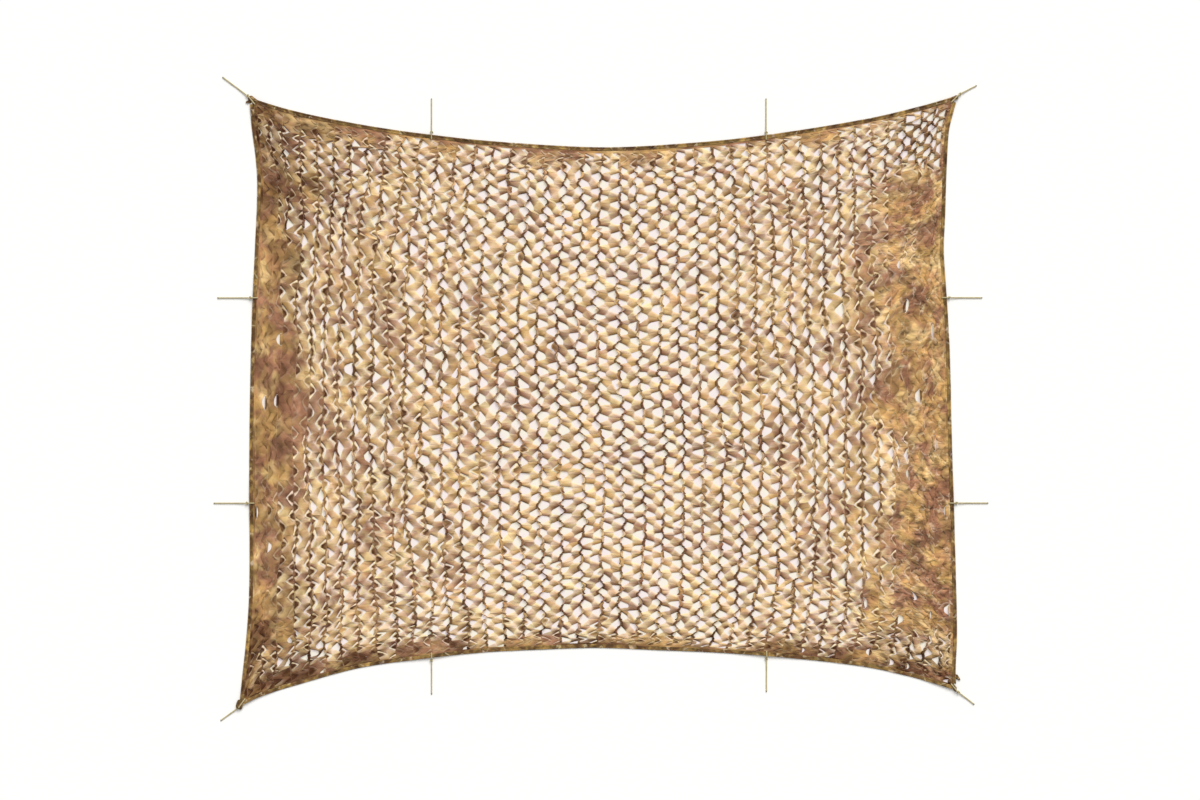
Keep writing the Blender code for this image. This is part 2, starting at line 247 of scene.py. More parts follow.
def bowAt(edge, along):
    # how far an edge bows inward: a smooth curve through its profile
    shares, depths = np.array(bows[edge]).T
    run = np.append(shares[1:], shares[-1]) - np.insert(shares[:-1], 0, shares[0])
    rise = np.append(depths[1:], depths[-1]) - np.insert(depths[:-1], 0, depths[0])
    slopes = rise / run
    k = np.clip(np.searchsorted(shares, along) - 1, 0, len(shares) - 2)
    width = shares[k + 1] - shares[k]
    t = (along - shares[k]) / width
    bend = depths[k] * (1.0 + 2.0 * t) * (1.0 - t) ** 2 + depths[k + 1] * t * t * (3.0 - 2.0 * t)
    return bend + width * t * (1.0 - t) * (slopes[k] * (1.0 - t) - slopes[k + 1] * t)


def edgePoint(edge, along, inset=0.0):
    first, last, inward = edgeEnds[edge]
    along = np.asarray(along, float)
    start = np.array(outline[first])
    finish = np.array(outline[last])
    chord = start + (finish - start) * along[..., None]
    return chord + np.array(inward) * np.asarray(bowAt(edge, along) + inset)[..., None]


def edgeLength(edge):
    first, last = edgeEnds[edge][:2]
    return math.dist(outline[first], outline[last])


def edgeStations(edge):
    # shares along an edge, and how high the cord under it lifts the binding at each
    cells = net["columns"] // 2 if edge in ("top", "bottom") else net["rows"] // 2
    ties = sorted((station, share) for name, station, share, _ in sideTies.values() if name == edge)
    places, shares = zip((0, 0.0), *ties, (cells, 1.0))
    margin = hem["marginInset"] / edgeLength(edge)
    inner = [float(np.interp(station, places, shares)) for station in range(1, cells)]
    lifted = [station for station, _ in ties]
    heights = [hem["liftAtTie"] if station in lifted else 0.0 for station in range(1, cells)]
    edgeLift = [hem["liftAtTie"]] * 2
    return [0.0, margin] + inner + [1.0 - margin, 1.0], edgeLift + heights + edgeLift


stationTable = {edge: edgeStations(edge) for edge in edgeEnds}


def liftAt(edge, along):
    return np.interp(along, *stationTable[edge])


def patch(across, down):
    # a place inside the outline, from its shares across and down
    across = np.asarray(across, float)
    down = np.asarray(down, float)
    corner = {name: np.array(place) for name, place in outline.items()}
    a = across[..., None]
    d = down[..., None]
    sideways = lerp(edgePoint("left", down), edgePoint("right", down), a)
    lengthways = lerp(edgePoint("top", across), edgePoint("bottom", across), d)
    top = lerp(corner["topLeft"], corner["topRight"], a)
    bottom = lerp(corner["bottomLeft"], corner["bottomRight"], a)
    return sideways + lengthways - lerp(top, bottom, d)


def squeezed(place, count):
    # the outermost two columns or rows give up room to the margin
    margin = net["margin"]
    low = margin + (2.0 - margin) * place / 2.0
    high = count - margin - (2.0 - margin) * (count - place) / 2.0
    return np.where(place < 2.0, low, np.where(place > count - 2.0, high, place))


def netShares(u, v):
    # u counts columns from the left, v counts rows from the top
    s = squeezed(u, net["columns"]) / net["columns"]
    t = np.clip(squeezed(v, net["rows"]) / net["rows"], 0.0, 1.0)
    middle = net["middlePlace"]
    side = np.clip(np.where(s < middle, (middle - s) / middle, (s - middle) / (1.0 - middle)), 0.0, 1.0)
    stretch = net["sideStretch"] * (1.0 - (1.0 - side) ** 1.6)
    widening = net["middleWidening"] * np.sqrt(np.clip(np.sin(math.pi * t), 0.0, None))
    across = s - widening * np.sin(2.0 * math.pi * s) / (2.0 * math.pi)
    down = t - stretch * np.sin(2.0 * math.pi * t) / (2.0 * math.pi)
    down = down + net["lowTightness"] * np.sin(math.pi * t) * (1.0 - side)
    return across, down


def placeAt(u, v):
    return patch(*netShares(u, v))


def cellSize(u, v):
    # width and height of one cell where a point lies
    width = np.linalg.norm(placeAt(u + 0.5, v) - placeAt(u - 0.5, v), axis=-1)
    height = np.linalg.norm(placeAt(u, v + 0.5) - placeAt(u, v - 0.5), axis=-1)
    return width, height


def valueNoise(x, y, seed):
    # smooth noise from -1 to 1, one wave to about two units
    table = np.random.default_rng(seed).uniform(-1.0, 1.0, (128, 128))
    xi = np.floor(x).astype(int)
    yi = np.floor(y).astype(int)
    fx = smooth(x - xi)
    fy = smooth(y - yi)

    def corner(i, j):
        return table[(xi + i) % 128, (yi + j) % 128]

    low = lerp(corner(0, 0), corner(1, 0), fx)
    high = lerp(corner(0, 1), corner(1, 1), fx)
    return lerp(low, high, fy)


def patchy(level, swing, x, y, seed):
    # an uneven share, from 0 to 1
    return np.clip(level + swing * valueNoise(x, y, seed), 0.0, 1.0)


def cellRandom(c, r, seed):
    # one even random number for each cell, from 0 to 1
    table = np.random.default_rng(seed).uniform(0.0, 1.0, (64, 64))
    return table[np.asarray(c).astype(int) % 64, np.asarray(r).astype(int) % 64]


# how far open the net is, and how it lies

openness = {
    # place across (m): how far open, from 0 to 1
    -2.10: 0.00, -1.88: 0.00, -1.74: 0.12, -1.64: 0.33, -1.52: 0.34, -1.38: 0.30, -1.20: 0.36,
    -1.05: 0.46, -0.98: 0.70, -0.80: 0.60, -0.60: 0.74, -0.30: 0.90, 0.00: 1.00, 0.45: 1.00,
    0.70: 0.70, 0.85: 0.60, 1.10: 0.58, 1.30: 0.56, 1.42: 0.48, 1.52: 0.38, 1.60: 0.22,
    1.70: 0.05, 1.80: 0.00, 2.10: 0.00,
}
openSpots = (
    # x, y, reach across, reach down, change
    (-0.75, -0.410, 0.50, 0.040, -0.20),
    (-1.330, -0.320, 0.080, 0.050, 0.45),
    (-0.980, -0.340, 0.090, 0.045, 0.35),
    (-1.320, 0.560, 0.035, 0.130, 0.25),
    (1.465, 0.860, 0.030, 0.120, -0.35),
    (1.465, 0.380, 0.030, 0.130, -0.35),
    (1.470, -0.620, 0.030, 0.140, -0.35),
    (0.10, 0.614, 1.20, 0.035, -0.18),
    (0.03, -1.250, 0.45, 0.050, -0.40),
    (0.10, 1.340, 0.45, 0.050, -0.30),
    (1.86, 1.550, 0.17, 0.130, 0.95),
    (1.66, 1.430, 0.16, 0.090, 0.60),
    (-1.66, 1.380, 0.24, 0.070, 0.35),
    (-1.80, 1.560, 0.16, 0.060, 0.30),
    (1.84, -1.420, 0.20, 0.090, 0.62),
    (-1.78, -1.500, 0.20, 0.090, 0.50),
)
stretchedSpots = (
    # x, y, reach across, reach down: here the mouths are pulled wide and the legs thin
    (1.85, 1.50, 0.17, 0.15),
    (-1.330, -0.325, 0.050, 0.035),
    (-0.990, -0.345, 0.060, 0.030),
    (-1.405, 0.757, 0.030, 0.040),
    (-1.415, 0.193, 0.030, 0.040),
    (-1.405, -0.860, 0.030, 0.040),
    (-1.610, 1.470, 0.045, 0.035),
    (-1.400, 1.440, 0.040, 0.030),
    (-1.620, -1.420, 0.055, 0.040),
)
shadeSpots = (
    # x, y, reach across, reach down, how much darker the cloth is there
    (-1.74, 1.28, 0.28, 0.22, 0.14),
    (-1.74, -1.30, 0.28, 0.20, 0.20),
    (-1.45, 0.00, 0.16, 1.20, 0.07),
    (-1.15, 0.00, 0.28, 1.50, 0.070),
    (0.00, -1.28, 1.20, 0.16, 0.045),
)
shadeBands = {
    # how dark the bunched cloth is along the sides and the bottom, and the most that all shade adds up to
    "left": 0.33,
    "right": 0.03,
    "bottom": 0.62,
    "most": 0.70,
}
cornerRidges = (
    # corner, reach, ridges in a right angle, height, how strongly they show in light and shade
    ("topLeft", 0.54, 13.0, 0.0085, 1.25),
    ("topRight", 0.26, 5.0, 0.0050, 0.30),
    ("bottomLeft", 0.42, 9.0, 0.0065, 1.20),
    ("bottomRight", 0.44, 10.0, 0.0065, 0.75),
)
folds = (
    # start x, start y, end x, end y, height, half width
    (-1.90, 1.55, -1.20, 0.95, 0.009, 0.13),
    (-1.76, 0.90, -1.72, -1.30, 0.006, 0.10),
    (1.62, 1.10, 1.56, -1.05, 0.006, 0.11),
    (1.86, 0.80, 1.84, -1.10, 0.007, 0.09),
    (-1.35, -0.40, 0.70, -0.44, 0.005, 0.12),
    (-1.20, 0.60, 1.10, 0.63, 0.004, 0.12),
    (-1.85, -1.45, -1.35, -1.10, 0.007, 0.12),
    (1.85, -1.40, 1.40, -1.10, 0.007, 0.12),
    (1.85, 1.50, 1.45, 1.15, 0.007, 0.12),
)
lie = {
    "sideWander": 0.13,  # how far the opening towards the two sides wanders, in metres
    "openLuck": (0.16, 0.12),  # how unevenly the net opens, by the cell and by the patch
    "bindingRows": (0.7, 1.5),  # rows by the top and bottom binding that stay closed, and that open up
    "openArch": 0.0105,  # how far the cloth between two slits bulges up
    "closedArch": 0.0030,
    "archReach": 0.0085,  # distance from a cut edge in which it does
    "spineWave": 0.0150,  # how far a spine zigzags from row to row in open cloth
    "jitter": 0.0165,  # how far cells lie from a regular net, by the cell
    "drift": 0.0170,  # and by the patch of cells
    "ruffle": 0.0026,  # how far the cut edges in open cloth wave
    "wrinkle": 0.0075,
    "restHeight": 0.0018,
    "inBinding": 0.0033,  # height of the cloth's edge inside the binding's fold
    "lowest": 0.0003,
    "highest": 0.0320,
}


def nearSpot(place, x, y, reachX, reachY):
    # 1 at a spot of the net, falling to 0 away from it
    return np.exp(-((place[..., 0] - x) / reachX) ** 2 - ((place[..., 1] - y) / reachY) ** 2)


def ridgeWaves(place):
    # the pull of each corner tie gathers the cloth into ridges that run out from the corner
    x, y = place[..., 0], place[..., 1]
    for number, (corner, reach, count, top, shade) in enumerate(cornerRidges):
        cornerX, cornerY = outline[corner]
        distance = np.hypot(x - cornerX, y - cornerY)
        turn = np.arctan2(y - cornerY, x - cornerX) / (math.pi / 2.0) * count + 40.0
        wave = valueNoise(turn, distance * 5.0, 81 + number)
        wave = wave + 0.5 * valueNoise(turn * 2.3, distance * 14.0, 85 + number)
        near = falloff(distance, reach) * smooth(distance / 0.06)
        yield near, near * wave, top, shade


def cornerNear(place):
    # 1 at the gathered corners, 0 away from them
    return np.max([near * smooth(shade * 2.0 - 0.8) for near, _, _, shade in ridgeWaves(place)], axis=0)


def ridgeLight(place):
    # the ridges at the corners catch the light
    return sum(
        min(shade, 1.0) * np.clip(2.0 * wave - 0.60, 0.0, 0.34) for _, wave, _, shade in ridgeWaves(place)
    )


def openAt(u, v):
    # how far open the net is at a column and row, from 0 to 1
    place = placeAt(u, v)
    x = place[..., 0]
    wander = lie["sideWander"] * valueNoise(u / 1.9, v / 2.6, 13) * ramp(np.abs(x), 0.9, 0.4)
    value = np.interp(x + wander, list(openness), list(openness.values()))
    for *spot, change in openSpots:
        value = value + change * nearSpot(place, *spot)
    byCell, byPatch = lie["openLuck"]
    rough = byCell * valueNoise(u * 0.9, v * 0.9, 11) + byPatch * valueNoise(u / 3.1, v / 2.7, 12)
    value = value + rough * np.clip(value * 4.0, 0.0, 1.0)
    byBinding = 1.0 - ramp(np.minimum(v, net["rows"] - v), *lie["bindingRows"])
    bottomHalf = 3.0 * (v > net["rows"] / 2.0)  # so that top and bottom differ
    bunched = 0.70 + 1.1 * valueNoise(u * 0.7, bottomHalf, 14) + 1.2 * cornerNear(place)
    return np.clip(value * (1.0 - 0.9 * byBinding * np.clip(bunched, 0.0, 1.0)), 0.0, 1.0)


def stretchAt(u, v):
    place = placeAt(u, v)
    return smooth(sum(nearSpot(place, *spot) for spot in stretchedSpots) * 1.6)


def bandShade(u, v):
    # how dark the cloth lies in its own shade: bunched along the sides and bottom, and in the corners
    place = placeAt(u, v)
    left = ramp(-u, -6.5, 4.0)
    right = ramp(u, net["columns"] - 5.0, 3.0)
    bottom = ramp(v, net["rows"] - 3.0, 2.5)
    patches = 0.42 + 1.2 * valueNoise(u * 0.55 + 9.0, v * 0.45, 61) + 0.6 * valueNoise(u * 1.4, v * 1.1, 62)
    value = np.clip(patches, 0.0, 1.0) * (shadeBands["left"] * left + shadeBands["right"] * right)
    value = value + shadeBands["bottom"] * bottom * patchy(0.45, 0.9, u * 0.8, v * 0.9, 64)
    uneven = np.clip(1.0 + 1.2 * valueNoise(u * 1.1, v * 1.0, 66), 0.0, 2.0)
    for *spot, change in shadeSpots:
        value = value + change * nearSpot(place, *spot) * uneven
    for near, wave, _, shade in ridgeWaves(place):
        value = value + shade * (np.clip(-1.6 * wave - 0.08, 0.0, 0.8) + 0.30 * near)
    return np.clip(value, 0.0, shadeBands["most"])


def foldHeight(x, y):
    height = np.zeros_like(x)
    for x0, y0, x1, y1, top, halfWidth in folds:
        run = np.array((x1 - x0, y1 - y0))
        share = np.clip(((x - x0) * run[0] + (y - y0) * run[1]) / (run @ run), 0.0, 1.0)
        distance = np.hypot(x - x0 - run[0] * share, y - y0 - run[1] * share)
        height = height + top * falloff(distance, halfWidth)
    return height


def netShift(u, v, isOpen):
    # how far a point of the cloth lies from its place in a regular net
    shiftX = lie["jitter"] * valueNoise(u * 0.9, v * 0.8, 1) + lie["drift"] * valueNoise(u / 3.3, v / 4.1, 2)
    shiftY = lie["jitter"] * valueNoise(u * 0.9, v * 0.8, 3) + lie["drift"] * valueNoise(u / 3.7, v / 3.9, 4)
    waveLuck = 1.0 + 0.7 * valueNoise(u * 0.8, v * 0.9, 8)
    shiftX = shiftX + lie["spineWave"] * waveLuck * isOpen ** 0.7 * np.cos(2.0 * math.pi * v)
    shiftX = shiftX + lie["ruffle"] * isOpen * valueNoise(u * 5.3, v * 6.1, 9)
    shiftY = shiftY + lie["ruffle"] * isOpen * valueNoise(u * 6.1, v * 5.3, 10)
    return shiftX, shiftY


def netPlace(u, v, height):
    # where a point of the cloth lies, from its column, row and height above the resting cloth
    u, v, height = np.broadcast_arrays(*(np.asarray(value, float) for value in (u, v, height)))
    across, down = netShares(u, v)
    place = patch(across, down)
    x, y = place[..., 0], place[..., 1]
    edges = {"left": down, "right": down, "top": across, "bottom": across}
    away = {edge: np.linalg.norm(place - edgePoint(edge, along), axis=-1) for edge, along in edges.items()}
    nearest = np.min(list(away.values()), axis=0)
    free = ramp(nearest, 0.024, 0.09)
    isOpen = openAt(u, v)
    shiftX, shiftY = netShift(u, v, isOpen)
    wrinkle = 1.0 - 2.2 * np.abs(valueNoise(u * 2.1 + v * 0.8, v * 2.4 - u * 0.5, 5))
    wrinkle = wrinkle + 0.6 * valueNoise(u * 4.3, v * 5.1, 6)
    low = lie["restHeight"] + foldHeight(x, y) * (0.75 + 0.25 * valueNoise(u, v, 7))
    low = low + lie["wrinkle"] * np.clip(wrinkle, 0.0, 1.2) * (1.0 - 0.75 * isOpen)
    for _, wave, top, _ in ridgeWaves(place):
        low = low + top * np.clip(wave, 0.0, None)
    for edge, along in edges.items():
        near = falloff(np.clip(away[edge] - 0.016, 0.0, None), 0.030)
        low = lerp(low, liftAt(edge, along) + lie["inBinding"], near)
    z = np.clip(low + height * ramp(nearest, 0.018, 0.03), lie["lowest"], lie["highest"])
    return np.stack((x + shiftX * free, y + shiftY * free, z), axis=-1)


# materials

colours = {
    # as seen on a screen, 0 to 255
    "ochre": (208, 163, 103),
    "sand": (235, 198, 139),
    "mauve": (152, 103, 83),
    "olive": (130, 96, 64),
    "russet": (190, 136, 104),
    "khaki": (200, 170, 100),
    # painted highlight colours
    "highlightCream": (255, 233, 212),
    "highlightStraw": (255, 240, 194),
    # the colour of painted shade
    "paintedShadeBrown": (72, 38, 15),
    "hemOlive": (120, 96, 56),
    "hemGold": (176, 142, 82),
    "hemBrown": (100, 70, 44),
    "thread": (122, 98, 60),
    "rope": (214, 202, 158),
    "ropeDark": (168, 154, 108),
    # a cord's burnt end, also used as painted shade in the grooves between its strands
    "burnt": (92, 62, 34),
}
netInks = {
    "Ground": "ochre", "Light": "sand", "Brown": "mauve", "Dark": "olive", "Warm": "russet", "Cool": "khaki",
}
hemInks = {
    "Ground": "hemOlive", "Light": "hemGold", "Brown": "hemBrown", "Dark": "olive", "Warm": "hemBrown",
    "Cool": "khaki",
}


def linear(name):
    channels = [value / 255.0 for value in colours[name]]
    channels = [c / 12.92 if c <= 0.04045 else ((c + 0.055) / 1.055) ** 2.4 for c in channels]
    return (*channels, 1.0)


def newGroup(name, inputs, outputs):
    # inputs are label: (kind, value), outputs are label: kind
    group = bpy.data.node_groups.new(name, "ShaderNodeTree")
    for label, (kind, value) in inputs.items():
        socket = group.interface.new_socket(label, in_out="INPUT", socket_type=kind)
        if value is not None:
            socket.default_value = value
    for label, kind in outputs.items():
        group.interface.new_socket(label, in_out="OUTPUT", socket_type=kind)
    return group, group.nodes.new("NodeGroupInput").outputs, group.nodes.new("NodeGroupOutput")


def addNode(tree, kind, values, **settings):
    node = tree.nodes.new(kind)
    for key, value in settings.items():
        setattr(node, key, value)
    return setInputs(tree, node, values)


def mathNode(tree, operation, first, second=0.0, clamp=False):
    settings = {"operation": operation, "use_clamp": clamp}
    return addNode(tree, "ShaderNodeMath", {0: first, 1: second}, **settings).outputs[0]


def noiseNode(tree, vector, scale, detail=2.0, distortion=0.0, offset=None, roughness=0.5):
    if offset is not None:
        vector = addNode(tree, "ShaderNodeVectorMath", {0: vector, 1: offset}, operation="ADD").outputs[0]
    return addNode(tree, "ShaderNodeTexNoise", {
        "Vector": vector, "Scale": scale, "Detail": detail, "Roughness": roughness, "Distortion": distortion,
    }).outputs["Fac"]


def rangeNode(tree, value, low, high, toLow=0.0, toHigh=1.0):
    values = {"Value": value, "From Min": low, "From Max": high, "To Min": toLow, "To Max": toHigh}
    return addNode(tree, "ShaderNodeMapRange", values).outputs[0]


def mixNode(tree, share, first, second):
    return addNode(tree, "ShaderNodeMix", {0: share, 6: first, 7: second}, data_type="RGBA").outputs[2]


def bumpNode(tree, height, strength, distance):
    values = {"Height": height, "Strength": strength, "Distance": distance}
    return addNode(tree, "ShaderNodeBump", values).outputs[0]


def clothPlace(tree):
    return addNode(tree, "ShaderNodeUVMap", {}, uv_map="flatCloth").outputs[0]


def shadeValue(tree, name):
    return addNode(tree, "ShaderNodeAttribute", {}, attribute_name=name).outputs["Fac"]


def makePrintGroup():
    # blotches of six inks
    group, take, give = newGroup("desertPrint", {
        "Place": ("NodeSocketVector", None), "Blotch Scale": ("NodeSocketFloat", 4.0),
        **{label: ("NodeSocketColor", linear(ink)) for label, ink in netInks.items()},
        "Dark Share": ("NodeSocketFloat", 0.5),
    }, {"Color": "NodeSocketColor"})

    def blotch(share, detail, offset):
        scale = mathNode(group, "MULTIPLY", take["Blotch Scale"], share)
        return noiseNode(group, take["Place"], scale, detail, 0.6, offset)

    brownMask = rangeNode(group, blotch(1.0, 2.0, (7.3, 2.1, 0.0)), 0.48, 0.56, 0.0, 0.85)
    lightMask = rangeNode(group, blotch(1.5, 2.0, (1.7, 9.4, 0.0)), 0.49, 0.60)
    darkEdge = rangeNode(group, take["Dark Share"], 0.0, 1.0, 0.74, 0.46)
    darkEnd = mathNode(group, "ADD", darkEdge, 0.12)
    darkMask = rangeNode(group, blotch(2.3, 1.5, (4.9, 5.2, 0.0)), darkEdge, darkEnd, 0.0, 0.75)
    warmMask = rangeNode(group, blotch(2.2, 1.0, (8.1, 3.3, 0.0)), 0.49, 0.61, 0.0, 0.50)
    coolMask = rangeNode(group, blotch(2.6, 1.0, (2.6, 6.2, 0.0)), 0.51, 0.63, 0.0, 0.30)
    colour = take["Ground"]
    masks = {"Light": lightMask, "Brown": brownMask, "Dark": darkMask, "Warm": warmMask, "Cool": coolMask}
    for ink, mask in masks.items():
        colour = mixNode(group, mask, colour, take[ink])
    setInputs(group, give, {"Color": colour})
    return group


def makeClothGroup():
    # weave, sun fading, crumple bumps, and painted shade and highlights of folds, crumples and dark creases,
    # shared by the net, the leaves and the binding
    group, take, give = newGroup("fieldCloth", {
        "Place": ("NodeSocketVector", None),
        "Color": ("NodeSocketColor", None),
        "Painted Shade Color": ("NodeSocketColor", linear("paintedShadeBrown")),
        "Painted Shade": ("NodeSocketFloat", 0.0),
        "Painted Light Color": ("NodeSocketColor", linear("highlightCream")),
        "Highlight Straw Color": ("NodeSocketColor", linear("highlightStraw")),
        "Painted Light": ("NodeSocketFloat", 0.0),
        "Fade": ("NodeSocketFloat", 0.2),
        "Thread Scale": ("NodeSocketFloat", 1500.0),
        "Fold Scale": ("NodeSocketFloat", 6.5),
        "Rumple Scale": ("NodeSocketFloat", 21.0),
        "Rumple": ("NodeSocketFloat", 0.3),
        "Ridge": ("NodeSocketFloat", 0.35),
    }, {"Color": "NodeSocketColor", "Height": "NodeSocketFloat", "Roughness": "NodeSocketFloat"})
    place = take["Place"]

    def times(first, second, clamp=False):
        return mathNode(group, "MULTIPLY", first, second, clamp)

    def plus(first, second):
        return mathNode(group, "ADD", first, second)

    def minus(first, second, clamp=False):
        return mathNode(group, "SUBTRACT", first, second, clamp)

    def scaled(colour, factor):
        values = {0: colour, "Scale": factor}
        return addNode(group, "ShaderNodeVectorMath", values, operation="SCALE").outputs[0]

    def noiseRange(scale, detail, offset, low, high, toLow=0.0, toHigh=1.0):
        noise = noiseNode(group, place, scale, detail, 0.0, offset)
        return rangeNode(group, noise, low, high, toLow, toHigh)

    def slanted(angle):
        # crumples run one way across the cloth
        lay = addNode(group, "ShaderNodeMapping", {
            "Vector": place, "Rotation": (0.0, 0.0, angle), "Scale": (0.75, 1.7, 1.0),
        }).outputs[0]
        return noiseNode(group, lay, take["Rumple Scale"], 2.0, 0.3, (3.1, 4.7, 0.0))

    axes = addNode(group, "ShaderNodeSeparateXYZ", {0: place}).outputs
    threads = [mathNode(group, "SINE", times(axes[axis], take["Thread Scale"])) for axis in (0, 1)]
    weave = times(*threads)
    soft = noiseNode(group, place, take["Fold Scale"], 2.0, 0.5)
    patches = noiseRange(7.0, 2.0, (6.0, 1.0, 0.0), 0.40, 0.62)
    rumple = mixNode(group, patches, slanted(0.75), slanted(-0.85))
    line = rangeNode(group, rumple, 0.40, 0.30)
    rumpled = times(minus(rumple, 0.5), take["Rumple"])
    height = minus(plus(times(soft, 2.2), times(rumpled, 2.4)), times(line, 0.25))
    height = plus(height, times(weave, 0.02))

    fading = times(noiseRange(5.5, 2.0, None, 0.3, 0.7, -1.0), take["Fade"])
    tint = plus(times(weave, 0.03), plus(fading, 1.0))
    # painted shade and light of soft folds, dark crease lines and crumples, multiplied into the print
    tint = times(tint, rangeNode(group, soft, 0.30, 0.68, 0.76, 1.14))
    tint = times(tint, rangeNode(group, line, 0.0, 1.0, 1.0, 0.76))
    tint = times(tint, plus(times(rumpled, 2.6), 1.0))
    printed = scaled(take["Color"], tint)
    # painted highlight: a lighter copy of the print, mixed with cream and straw
    highlightStraw = noiseRange(16.0, 1.0, (2.0, 8.0, 0.0), 0.44, 0.58)
    paintedLight = mixNode(group, highlightStraw, take["Painted Light Color"], take["Highlight Straw Color"])
    paintedLight = mixNode(group, 0.86, scaled(printed, 1.5), paintedLight)
    colour = mixNode(group, take["Painted Light"], printed, paintedLight)
    # painted shade from the mesh, kept off the painted highlights
    unlit = minus(1.0, times(take["Painted Light"], 0.75), clamp=True)
    shadeAndBurn = times(take["Painted Shade"], unlit, clamp=True)
    colour = mixNode(group, shadeAndBurn, colour, take["Painted Shade Color"])

    # painted glints: thin highlight lines along ridges, in patches
    glint = noiseNode(group, place, 15.0, 1.0, 0.9, (9.3, 2.2, 0.0))
    glint = rangeNode(group, mathNode(group, "ABSOLUTE", minus(glint, 0.5)), 0.0, 0.050, 1.0, 0.0)
    few = noiseRange(19.0, 1.0, (5.1, 3.8, 0.0), 0.50, 0.62)
    colour = mixNode(group, times(times(glint, few), take["Ridge"]), colour, paintedLight)
    rough = rangeNode(group, rumple, 0.3, 0.7, 0.78, 0.92)
    setInputs(group, give, {"Color": colour, "Height": height, "Roughness": rough})
    return group


printGroup = makePrintGroup()
clothGroup = makeClothGroup()


def printedCloth(name, inks, blotches, fade, darkShare):
    material, tree, shader = makeMaterial(name)
    place = clothPlace(tree)
    values = {"Place": place, "Blotch Scale": blotches, "Dark Share": darkShare}
    values.update({label: linear(colour) for label, colour in inks.items()})
    ink = addNode(tree, "ShaderNodeGroup", values, node_tree=printGroup).outputs["Color"]
    across = addNode(tree, "ShaderNodeSeparateXYZ", {0: place}).outputs[0]
    cloth = addNode(tree, "ShaderNodeGroup", {
        "Place": place, "Color": ink, "Fade": fade,
        "Painted Shade": shadeValue(tree, "shadeAndBurn"), "Painted Light": shadeValue(tree, "paintedLight"),
        "Rumple": rangeNode(tree, across, 3.00, 3.30, 0.20, 0.80),  # the right end lies more crumpled, with more painted crumple shade and painted glints
        "Ridge": rangeNode(tree, across, 3.00, 3.30, 0.10, 0.50),
    }, node_tree=clothGroup)
    setInputs(tree, shader, {
        "Base Color": cloth.outputs["Color"],
        "Roughness": cloth.outputs["Roughness"],
        "Normal": bumpNode(tree, cloth.outputs["Height"], 0.8, 0.010),
        "Specular IOR Level": 0.18, "Sheen Weight": 0.06, "Sheen Roughness": 0.5,
    })
    return material


def ropeMaterial():
    material, tree, shader = makeMaterial("tanRope")
    place = clothPlace(tree)
    fibre = noiseNode(tree, place, 900.0, 3.0, roughness=0.6)
    share = mathNode(tree, "MULTIPLY", fibre, noiseNode(tree, place, 40.0))
    colour = mixNode(tree, rangeNode(tree, share, 0.12, 0.40), linear("ropeDark"), linear("rope"))
    setInputs(tree, shader, {
        # the burnt end's own colour, and painted shade in the grooves between strands
        "Base Color": mixNode(tree, shadeValue(tree, "shadeAndBurn"), colour, linear("burnt")),
        "Roughness": rangeNode(tree, fibre, 0.3, 0.7, 0.62, 0.82),
        "Normal": bumpNode(tree, fibre, 0.5, 0.0004),
        "Sheen Weight": 0.15,
    })
    return material


def threadMaterial():
    material, tree, shader = makeMaterial("sewingThread")
    twist = noiseNode(tree, clothPlace(tree), 2200.0, 1.0)
    setInputs(tree, shader, {
        "Base Color": mixNode(tree, rangeNode(tree, twist, 0.3, 0.7), linear("olive"), linear("thread")),
        "Roughness": rangeNode(tree, twist, 0.3, 0.7, 0.45, 0.65),
        "Normal": bumpNode(tree, twist, 0.4, 0.0001),
    })
    return material


netMaterial = printedCloth("printedNetCloth", netInks, 4.4, 0.20, 0.44)
hemMaterial = printedCloth("printedHemCloth", hemInks, 9.0, 0.12, 0.55)
ropeFinish = ropeMaterial()
threadFinish = threadMaterial()
print("materials ready")

# meshes from grids of points


def gridMesh(name, parts, material):
    # each part is (places, flat places, painted shade, painted light) for one or many grids; closed ones
    # repeat a line; on a cord the painted shade also holds its burnt end
    points, flats, quads = [], [], []
    shades = {"shadeAndBurn": [], "paintedLight": []}
    total = 0
    for places, flat, shadeAndBurn, *paintedLight in parts:
        many, rows, columns = places.shape[:3]
        index = np.arange(many * rows * columns).reshape(many, rows, columns) + total
        corners = (index[:, :-1, :-1], index[:, 1:, :-1], index[:, 1:, 1:], index[:, :-1, 1:])
        quads.append(np.stack(corners, axis=-1).reshape(-1, 4))
        points.append(places.reshape(-1, 3))
        flats.append(np.broadcast_to(flat, places.shape[:3] + (2,)).reshape(-1, 2))
        for label, values in (("shadeAndBurn", shadeAndBurn), ("paintedLight", paintedLight[0] if paintedLight else 0.0)):
            shades[label].append(np.broadcast_to(values, places.shape[:3]).reshape(-1))
        total += many * rows * columns
    quads = np.concatenate(quads)
    mesh = bpy.data.meshes.new(name)
    mesh.vertices.add(total)
    mesh.vertices.foreach_set("co", np.concatenate(points).astype(np.float32).ravel())
    mesh.loops.add(quads.size)
    mesh.loops.foreach_set("vertex_index", quads.astype(np.int32).ravel())
    mesh.polygons.add(len(quads))
    mesh.polygons.foreach_set("loop_start", np.arange(0, quads.size, 4, dtype=np.int32))
    mesh.update(calc_edges=True)
    uv = mesh.uv_layers.new(name="flatCloth")
    uv.data.foreach_set("uv", np.concatenate(flats)[quads.ravel()].astype(np.float32).ravel())
    for label, values in shades.items():
        shade = mesh.attributes.new(label, "FLOAT", "POINT")
        shade.data.foreach_set("value", np.clip(np.concatenate(values), 0.0, 1.0).astype(np.float32))
    mesh.polygons.foreach_set("use_smooth", np.ones(len(quads), dtype=bool))
    mesh.validate()
    mesh.materials.append(material)
    return addObject(name, mesh)


